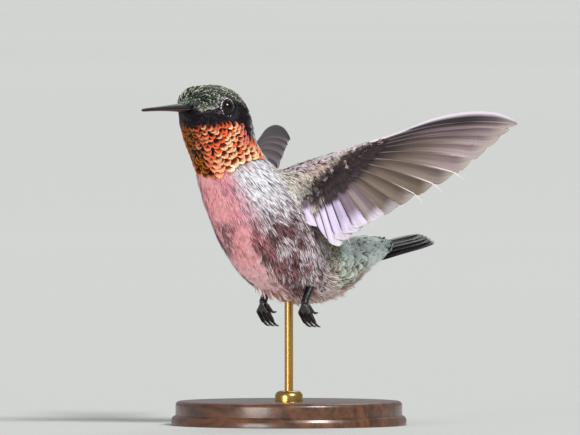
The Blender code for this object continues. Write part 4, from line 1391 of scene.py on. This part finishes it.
class WingPlane:
    """Places the flat drawing of a wing on its solids. out is positive on the underside."""

    def __init__(self, side):
        name = "wing_" + side
        sign = 1 if side == "left" else -1
        hand = sum(corners_mm(name + "_hand")) / 2
        primaries, _ = node_mesh(name + "_primaries")
        secondaries, _ = node_mesh(name + "_secondaries")
        tip = primaries[np.argmax(np.linalg.norm(primaries - hand, axis=1))]
        low = secondaries[np.argmin(secondaries[:, 2])]
        steps = np.array([np.subtract(WING_TIP, HAND_MIDDLE), np.subtract(WING_LOW, HAND_MIDDLE)])
        self.out = np.zeros(3)
        for _ in range(3):
            ends = np.array([tip - hand - self.out * TIP_OUT, low - hand - self.out * LOW_OUT])
            self.span, self.chord = np.linalg.solve(steps, ends)
            self.out = unit(np.cross(self.chord, self.span)) * sign
        self.shoulder = hand - self.span * HAND_MIDDLE[0] - self.chord * HAND_MIDDLE[1]

    def at(self, s, k, out):
        s, k, out = (np.asarray(v, float)[..., None] for v in (s, k, out))
        return self.shoulder + self.span * s + self.chord * k + self.out * out

    def on_blade(self, flat, lift):
        """Flat places laid on the hollow of the wing, lifted to the underside."""
        s, k = flat[..., 0], flat[..., 1]
        return self.at(s, k, blade_rise(s, k) + lift)


def along_line(line, share):
    """The flat place at a share of the way along a smooth line."""
    fine, _ = spline(np.array(line, float), 8 * (len(line) - 1) + 1)
    at = np.clip(share, 0, 1) * (len(fine) - 1)
    i = np.minimum(np.asarray(at).astype(int), len(fine) - 2)
    part = (at - i)[..., None] if np.ndim(at) else at - i
    return fine[i] + (fine[i + 1] - fine[i]) * part


def shaft_line(place, t):
    """Flat places along the shaft of a feather counted outward from the body, at shares t of its length."""
    share = place / OUTERMOST
    root, tip = along_line(ROOT_LINE, share), along_line(TIP_LINE, share)
    bow = BOW * max(0.0, (share - 0.3) / 0.7) ** 1.5
    t = t[:, None]
    return root + (tip - root) * t - np.array((0.0, 4 * bow)) * t * (1 - t)


def closed_sheet(grid, thickness, normals):
    """Points and faces of a thin closed vane from a grid of points: its face, its back and its rim."""
    rows, columns = grid.shape[:2]
    face = grid + normals * thickness[..., None]
    back = grid - normals * thickness[..., None]
    points = np.concatenate([face.reshape(-1, 3), back.reshape(-1, 3)])
    front = grid_faces(rows, columns, closed=False)
    start = rows * columns
    faces = front + [tuple(v + start for v in corners[::-1]) for corners in front]
    rim = [row * columns for row in range(rows)]
    rim += [(rows - 1) * columns + column for column in range(1, columns)]
    rim += [row * columns + columns - 1 for row in range(rows - 2, -1, -1)]
    rim += list(range(columns - 2, 0, -1))
    for i, corner in enumerate(rim):
        after = rim[(i + 1) % len(rim)]
        faces.append((corner, after, after + start, corner + start))
    return points, faces


def flight_vane(plane, place, rng):
    """The grid of one flight feather, and its shares across and along."""
    t = np.linspace(0, 1, VANE_ROWS)
    shaft = shaft_line(place, t)
    inner = shaft_line(max(place - 1, 0), t) if place > 0 else shaft - (2.1, 0.3)
    outer = shaft_line(place + 1, t) if place < OUTERMOST else along_line(LEADING_EDGE, t)
    way = unit(np.gradient(shaft, axis=0))
    side = np.stack([way[:, 1], -way[:, 0]], -1)
    inner_reach, outer_reach = (np.abs(((line - shaft) * side).sum(1)) for line in (inner, outer))
    wide_in = np.minimum(inner_reach, VANE_WIDEST) * 1.2 + 0.2
    wide_out = outer_reach * (0.98 if place == OUTERMOST else 0.5)
    sharp = np.interp(place, *VANE_SHARPNESS)
    tip = np.sqrt(np.clip(1 - np.clip((t - 1 + sharp) / sharp, 0, 1) ** 2.2, 0.0, 1))
    base = ramp(t, -0.3, 0.05)
    length = np.linalg.norm(shaft[-1] - shaft[0])
    back = max(0.0, ((shaft[-1] - inner[-1]) * way[-1]).sum()) / length
    slope = max(sharp, 1.15 * back)
    tip_in = np.clip(1 - np.clip((t - 1 + slope) / slope, 0, 1) ** 1.7, 0.0, 1) ** 0.8
    ragged = 1 - 0.05 * rng.random(VANE_ROWS) * ramp(t, 0.3, 0.9)
    for _ in range(SLITS):
        slit = rng.integers(VANE_ROWS - 14, VANE_ROWS - 2)
        ragged[slit] -= rng.uniform(0.03, 0.12)
    across, along = np.meshgrid(VANE_STEPS, t)
    width = np.where(across > 0, (wide_in * tip_in * ragged)[:, None], (wide_out * tip)[:, None])
    width = width * base[:, None]
    slant = 0.5 * np.abs(across) * width * (1 - along)
    flat = shaft[:, None, :] + side[:, None, :] * (across * width)[..., None] * -1
    flat = flat + way[:, None, :] * slant[..., None] * 0.35
    lift = np.interp(place, (4, 7), (2.0, 1.0)) * LAP_TILT * across + 0.07 * (1 - across ** 2)
    lift = lift + 0.02 * np.sin(along * 9 + place)
    return plane.on_blade(flat, lift), across, along


def under_colours(place, across, along):
    """The underside: lavender inner secondaries, sand-brown primaries, dark and streaked near the front."""
    number = np.full_like(along, place)
    # Where the next feather lies over a vane, the vane is painted darker, as painted shade under that
    # feather; seen is the strip left open.
    seen = ramp(across, 0.2, 0.75)  # the strip that the next feather leaves open
    outer_hand = ramp(along, 0.4, 0.8) * ramp(number, 9, 12)
    sand = blend(srgb(82, 68, 60), srgb(126, 110, 97), seen)
    sand = blend(sand, blend(srgb(116, 98, 100), srgb(176, 158, 160), seen), outer_hand)
    violet = blend(srgb(184, 166, 206), srgb(224, 210, 243), ramp(across, 0.0, 0.4))
    plum = blend(srgb(50, 36, 42), srgb(122, 102, 108), seen)
    washes = (
        (srgb(112, 90, 104), ramp(np.abs(number - 4.6), 0.8, 0.3) * ramp(along, 0.86, 0.6)),
        # A thin dark line along each free inner edge is painted shade between the feathers.
        (srgb(40, 24, 32), 0.95 * ramp(across, 0.82, 0.95) * ramp(along, 1.0, 0.86)),
        (srgb(70, 50, 58), 0.9 * ramp(along + 0.1 * np.sin(9 * across), 0.36, 0.16)),
        (sand, ramp(number, 4.6, 6.4)),
        (plum, ramp(number, 11.5, 14.0) * ramp(along, 1.0, 0.55)),
        (srgb(16, 9, 11), 0.94 * ramp(number, 9.0, 12.0) * ramp(along, 0.55, 0.1)),
        (srgb(22, 13, 14), 0.9 * ramp(number, 4.5, 7.5) * ramp(along, 0.36, 0.08)),
        (srgb(212, 204, 216), ramp(number, 9.0, 5.0) * ramp(along, 0.76, 0.94)),
        (srgb(176, 168, 160), 0.75 * ramp(along, 0.84, 1.0) * ramp(number, 5.5, 7.5)),
    )
    if place == OUTERMOST:
        line = np.interp(along, (0, 0.25, 0.5, 1), (-0.3, -0.5, -0.72, -0.84))
        dark = ramp(across, line - 0.05, line + 0.1) * ramp(across, 0.6, 0.1)
        washes += (
            (srgb(30, 20, 26), dark * (1 - 0.75 * ramp(along, 0.6, 0.95))),
            (srgb(224, 214, 226), ramp(across, line + 0.05, line - 0.03)),
        )
    return washed(violet, washes)


def upper_colours(across, along):
    """The upper side: slate brown with a violet bloom and paler rims."""
    return washed(srgb(112, 98, 106), (
        (srgb(44, 35, 40), ramp(across, 0.5, -0.3)),
        (srgb(146, 128, 142), 0.7 * ramp(along, 0.3, 0.75) * ramp(across, 0.1, 0.8)),
        (srgb(160, 148, 156), 0.6 * ramp(np.abs(across), 0.86, 1.0)),
    ))


class Heap:
    """Gathers long feathers, to be made into one mesh with a cell of the map for each."""

    def __init__(self, cells_wide):
        self.cells_wide = cells_wide
        self.parts, self.colours, self.vane, self.spots = [], [], [], []

    def add(self, points, faces, colours, vane, spots):
        self.parts.append((points, faces))
        self.colours.append(colours.reshape(-1, 3))
        self.vane.append(vane.reshape(-1, 3))
        self.spots.append(spots.reshape(-1, 2))

    def cell(self, number, across, along, half):
        u = (number + 0.5 + 0.44 * across) / self.cells_wide
        return np.stack([u, (half + 0.03 + 0.94 * along) / 2], -1)

    def add_vane(self, number, grid, across, along, chance, thickness, out, colours):
        """A thin closed vane from a grid of points. out is the side that its first colours lie on."""
        normals = facing(unit(np.cross(np.gradient(grid, axis=0), np.gradient(grid, axis=1))), out)
        points, faces = closed_sheet(grid, thickness, normals)
        vane = np.stack([across, along, np.full_like(along, chance)], -1)
        spots = [self.cell(number, across, along, half) for half in (0, 1)]
        self.add(points, faces, np.stack(colours), np.stack([vane, vane]), np.stack(spots))

    def add_shaft(self, number, line, radii, along, out, colours):
        points, faces = tube(line, radii, 0.7, out, SHAFT_SIDES)
        along = np.repeat(along, SHAFT_SIDES)
        none = np.zeros(len(along))
        vane = np.stack([none, along, none], -1)
        self.add(points, faces, colours, vane, self.cell(number, none, along, 0))

    def make(self, name):
        points, faces = joined(self.parts)
        corners = np.array([v for face in faces for v in face])
        sizes = np.array([len(face) for face in faces])
        colours, vane, spots = (np.concatenate(v) for v in (self.colours, self.vane, self.spots))
        return make_coat(name, points, corners, sizes, colours, vane, spots)


def wing_feathers(side, first, end):
    """The flight feathers of one wing from one number up to another, in one heap."""
    plane = WingPlane(side)
    heap = Heap(end - first)
    rng = np.random.default_rng(60 + first)
    turn = np.sin(np.arange(SHAFT_SIDES) * 2 * math.pi / SHAFT_SIDES)
    for place in range(first, end):
        grid, across, along = flight_vane(plane, place, rng)
        chance = rng.random()
        tone = 0.92 + 0.16 * chance
        heap.add_vane(
            place - first, grid, across, along, chance, VANE_HALF * (1 - 0.7 * np.abs(across)) + 0.01,
            plane.out, [under_colours(place, across, along) * tone, upper_colours(across, along) * tone],
        )
        bare = SPIKE_END if place in SPIKED else SHAFT_ENDS[place % len(SHAFT_ENDS)]
        t = np.linspace(0, bare if place < 13 else 0.97, SHAFT_STEPS)
        line = shaft_line(place, t)
        line[:, 1] += SPIKE_BEND * np.maximum(t - 1, 0)
        point = (0.1 if place in SPIKED else 0.05) * ramp(t, bare + 0.02, 0.97)
        radii = np.maximum(0.12 * np.clip(1 - t, 0, 1) ** 0.8 + point, 0.02)
        far = np.repeat(t, SHAFT_SIDES)
        shade = ramp(np.tile(turn, len(t)), 0.2, -0.2) * ramp(far, 1.0, 0.94)
        colours = blend(srgb(118, 101, 96), srgb(255, 252, 246), ramp(far, 0.6, 1.0))
        colours = blend(colours, srgb(58, 44, 42), shade)
        if place > 10:
            colours = blend(colours, srgb(70, 54, 58), 0.45)
        heap.add_shaft(place - first, plane.on_blade(line, 0.07), radii, t, plane.out, colours)
    return heap


remige_finish = plumage("flight_feathers", 150, 0.32, 0.25, 0.5, 0.1, streak=0.25)
for side in ("left", "right"):
    for name, first, end in (("secondaries", 0, SECONDARIES), ("primaries", SECONDARIES, REMIGES)):
        piece = wing_feathers(side, first, end).make("plumes_" + side + "_" + name)
        fit(piece, remige_finish, "wing_feather", "wing_" + side + "_" + name)

# The coverts lie in rows over the arm and hand, above and below, the last row over the feather roots.
COVERT_START = -1.0  # the first feather's place along the span
COVERT_SPAN = 19.5
# Each row: place across the arm, spacing, length, width.
COVERT_ROWS = (
    (-0.02, 0.4, 1.5, 0.8), (0.02, 0.4, 1.5, 0.8), (0.1, 0.55, 1.7, 1.0), (0.2, 0.6, 1.9, 1.1),
    (0.3, 0.6, 2.0, 1.15), (0.4, 0.65, 2.1, 1.2), (0.5, 0.65, 2.2, 1.2), (0.6, 0.7, 2.4, 1.3),
    (0.7, 0.75, 2.6, 1.3), (0.82, 0.8, 3.0, 1.4), (0.94, 0.8, 3.6, 1.5), (1.04, 0.8, 3.6, 1.5),
    (1.14, 0.8, 3.4, 1.5),
)
# The base, edge and root colours of the coverts. Below, a feather lies between the dark and the light.
UNDER_DARK = dyes((58, 38, 38), (96, 74, 72), (20, 11, 14))
UNDER_LIGHT = dyes((96, 76, 68), (206, 192, 180), (44, 36, 28))
UPPER = dyes((86, 70, 74), (158, 140, 148), (34, 34, 26))
UPPER_GREEN = dyes((92, 100, 66), (190, 190, 154), (34, 34, 26))
FRONT_EDGE = dyes((204, 188, 194), (236, 226, 232), (160, 142, 148))


def wing_surface(plane, lift):
    """The skin with one face of the flight feathers, for the coverts to lie on."""
    t = np.linspace(0, 1, 12)
    blade = [plane.on_blade(shaft_line(place, t), lift) for place in np.linspace(0, OUTERMOST, 24)]
    sheet = np.concatenate(blade), grid_faces(len(blade), len(t), closed=False)
    return surface_of(*joined([(skin_points, skin_triangles.tolist()), sheet]))


def covert_colours(s, c, under, chance):
    """Base, rim and root colours of coverts at a span, a place across the arm and a side."""
    near = ramp(s + 4 * (chance - 0.5), 3.6, 1.2)
    if under:
        share = np.stack([chance, ramp(chance, 0.5, 0.95), near])
        colours = blend(UNDER_DARK, UNDER_LIGHT, share)
        olive = ramp(s, 4.0, 6.0) * ramp(s, 14.0, 10.0) * ramp(c, 0.5, 0.3)
        patagium = ramp(s, 1.5, 3.0) * ramp(s, 8.5, 7.0) * ramp(c, 0.4, 0.28)
        dark = ramp(s + 2 * chance, 5.0, 7.0) * ramp(c, 0.22, 0.36) + ramp(s, 8.0, 10.5) * ramp(c, 0.1, 0.16)
        dark = np.clip(dark + ramp(s + 2 * chance, 2.0, 4.0) * ramp(c, 0.36, 0.5) * (chance < 0.72), 0, 1)
        colours[:2] = washed(colours[:2], (
            (dyes((116, 110, 88), (206, 202, 182)), olive),
            (dyes((176, 150, 144), (216, 194, 186)), patagium),
            (dyes((30, 17, 20), (70, 50, 54)), dark * (chance < 0.93)),
            (dyes((186, 152, 156), (222, 196, 196)), (chance >= 0.93) & (s > 7)),
            (dyes((184, 172, 158), (242, 236, 226)), near),
        ))
        colours[2] = blend(colours[2], srgb(120, 98, 94), patagium)
    else:
        green = ramp(s, 16, 9) * ramp(c, 0.18, 0.35)
        colours = blend(UPPER, UPPER_GREEN, np.multiply.outer((1, 1, 0), green))
        colours[:2] *= (0.85 + 0.3 * chance)[:, None]
    return blend(colours, FRONT_EDGE, ramp(c, 0.09, 0.05))


streaky = loose_form(7, 0.2, 0.8)
covert_finish = plumage("covert_plumes", 30, 0.7, 0.3, 0.5, 0.2)
for number, side in enumerate(("left", "right")):
    plane = WingPlane(side)
    for under in (True, False):
        surface = wing_surface(plane, 0.24 if under else -0.16)
        rng = np.random.default_rng(80 + 2 * number + under)
        rows = []
        for row, (share, gap, long, wide) in enumerate(COVERT_ROWS):
            count = int(COVERT_SPAN / gap)
            s = COVERT_START + (np.arange(count) + 0.5 * (row % 2)) * gap
            s = s + rng.uniform(-0.2, 0.2, count) * gap
            c = share + rng.uniform(-0.04, 0.04, count)
            outward = ((s - 6) / 12).clip(0, 1)
            rows.append((s, c, long * (1 - 0.2 * outward), wide * (1 - 0.28 * outward)))
        s, c, long, wide = np.concatenate(rows, axis=1)
        sign = 1 if under else -1
        front, back = np.interp(s, ARM_SPANS, ARM_FRONTS), np.interp(s, ARM_SPANS, ARM_BACKS)
        thick = np.interp(s, ARM_SPANS, ARM_THICKS) * np.sqrt(np.clip(1 - (2 * c - 1) ** 2, 0.02, 1))
        k = front + (back - front) * c
        above = plane.at(s, k, sign * (thick + 0.4))
        roots, normals = nearest(surface, above)
        order = np.interp(s, [p[0] for p in ROOT_LINE], np.linspace(0, OUTERMOST, len(ROOT_LINE)))
        ways = []
        for place, share in zip(order, c):
            line = shaft_line(place, np.array((0.0, 0.15)))
            flat = unit(line[1] - line[0])
            flat = unit(flat + np.array((1.0, 0.25)) * 1.4 * (1 - share) ** 2)
            ways.append(plane.span * flat[0] + plane.chord * flat[1])
        ways = unit(np.array(ways) + rng.normal(scale=0.09, size=(len(s), 3)))
        ways = laid_flat(ways, normals)
        colours = covert_colours(s, c, under, rng.random(len(s)))
        spots = np.stack([0.05 + 0.9 * (s + 3) / 24, 0.05 + 0.9 * np.clip(c, 0, 1)], -1)
        keep = np.flatnonzero((normals * plane.out).sum(1) * sign > -0.3)
        piece = lay(
            "coverts_" + side + ("_under" if under else "_upper"), streaky if under else scale_form, surface,
            roots[keep], normals[keep], ways[keep], long[keep], wide[keep], 0.34, 0.12,
            colours[:, keep], spots[keep], 90 + 2 * number + under,
            (0.3, 0.85) if under else (0.38, 0.78),
        )
        fit(piece, covert_finish, "wing_covert")

# -----------------------------------------------------------------------------------------------------------
# The tail: ten stiff feathers in a shallow fork, the middle pair on top, each laid a little under the one
# nearer the middle. They are pinned side by side into the rump.

RECTRICES = 10
FORK = 1.6  # how far the middle pair stays behind the outer ones
ARCH = 2.7  # how far the outer ones lie below the middle pair at their roots
TAIL_LAP = 0.16
UP = np.array((0, 0, 1.0))


def tail_feathers():
    """The fanned tail, in one heap: the middle pair highest, the outer ones stepped below it."""
    low, high = corners_mm("tail")
    points, _ = node_mesh("tail")
    root_y = low[1]
    heap = Heap(RECTRICES)
    rng = np.random.default_rng(70)
    near = points[points[:, 1] < root_y + 1.2]
    far = points[points[:, 1] > high[1] - 2.4]
    root_middle = (near.min(0) + near.max(0)) / 2
    root_half = (near[:, 0].max() - near[:, 0].min()) / 2
    tip_half = (far[:, 0].max() - far[:, 0].min()) / 2
    tip_x = (far[:, 0].max() + far[:, 0].min()) / 2
    top = points[points[:, 1] > high[1] - 3.0][:, 2].max()
    t = np.linspace(-0.15, 1, VANE_ROWS)
    seen = np.clip(t, 0, 1)
    across, along = np.meshgrid(VANE_STEPS, seen)
    tip = np.sqrt(np.clip(1 - np.clip((t - 0.66) / 0.34, 0, 1) ** 2, 0, 1))
    wide = (0.62 + 0.5 * ramp(t, 0.0, 0.7)) * tip * ramp(t, -0.3, 0.1)
    dark = srgb(22, 20, 24)
    for number in range(RECTRICES):
        spread = (number + 0.5) / RECTRICES * 2 - 1
        x = root_middle[0] + (tip_x - root_middle[0]) * t
        x = x + spread * (root_half + (tip_half - root_half) * t) * 0.86
        y = root_y + (high[1] - root_y - FORK * (1 - abs(spread))) * t
        z = root_middle[2] + 0.55 + (top - root_middle[2] - 0.8) * t
        z = z - (ARCH - 1.3 * seen) * spread ** 2 - 0.5 * seen ** 2 - 0.24 * abs(spread)
        shaft = np.stack([x, y, z], -1)
        ragged = 1 - 0.06 * rng.random(VANE_ROWS) * ramp(t, 0.4, 1)
        outward = across * np.sign(spread)
        width = np.where(outward > 0, wide[:, None] * 0.8, (wide * ragged)[:, None] * 1.15)
        grid = shaft[:, None, :] + np.array((1.0, 0, 0)) * (across * width)[..., None]
        grid[..., 2] -= TAIL_LAP * outward - 0.05 * (1 - across ** 2) + 0.35 * across * width * spread
        outer = abs(spread) > 0.5
        upper = washed(dark, (
            (srgb(46, 46, 50) if outer else srgb(118, 122, 116), 0.9 * ramp(along, 0.98, 0.3)),
            (srgb(206, 212, 206), ramp(outward, -0.75, -0.95) * (not outer)),
            (srgb(176, 180, 178), ramp(along, 0.93, 0.99) * (0.9 if outer else 0.4)),
        ))
        under = washed(dark, (
            (srgb(30, 26, 30), along),
            (srgb(186, 188, 184), ramp(along, 0.95, 1.0) * (0.9 if outer else 0.3)),
        ))
        thickness = VANE_HALF * (1.2 - 0.8 * np.abs(across))
        heap.add_vane(number, grid, across, along, rng.random(), thickness, UP, [upper, under])
        horn_colour = np.tile(srgb(44, 36, 38), (SHAFT_SIDES * (VANE_ROWS - 1), 1))
        radii = 0.15 * (1 - seen[:-1]) ** 0.8 + 0.03
        heap.add_shaft(number, shaft[:-1] + 0.05 * UP, radii, seen[:-1], UP, horn_colour)
    return heap.make("plumes_tail")


fit(tail_feathers(), plumage("tail_feathers", 130, 0.35, 0.3, 0.35, 0.1), "tail_feather", "tail")
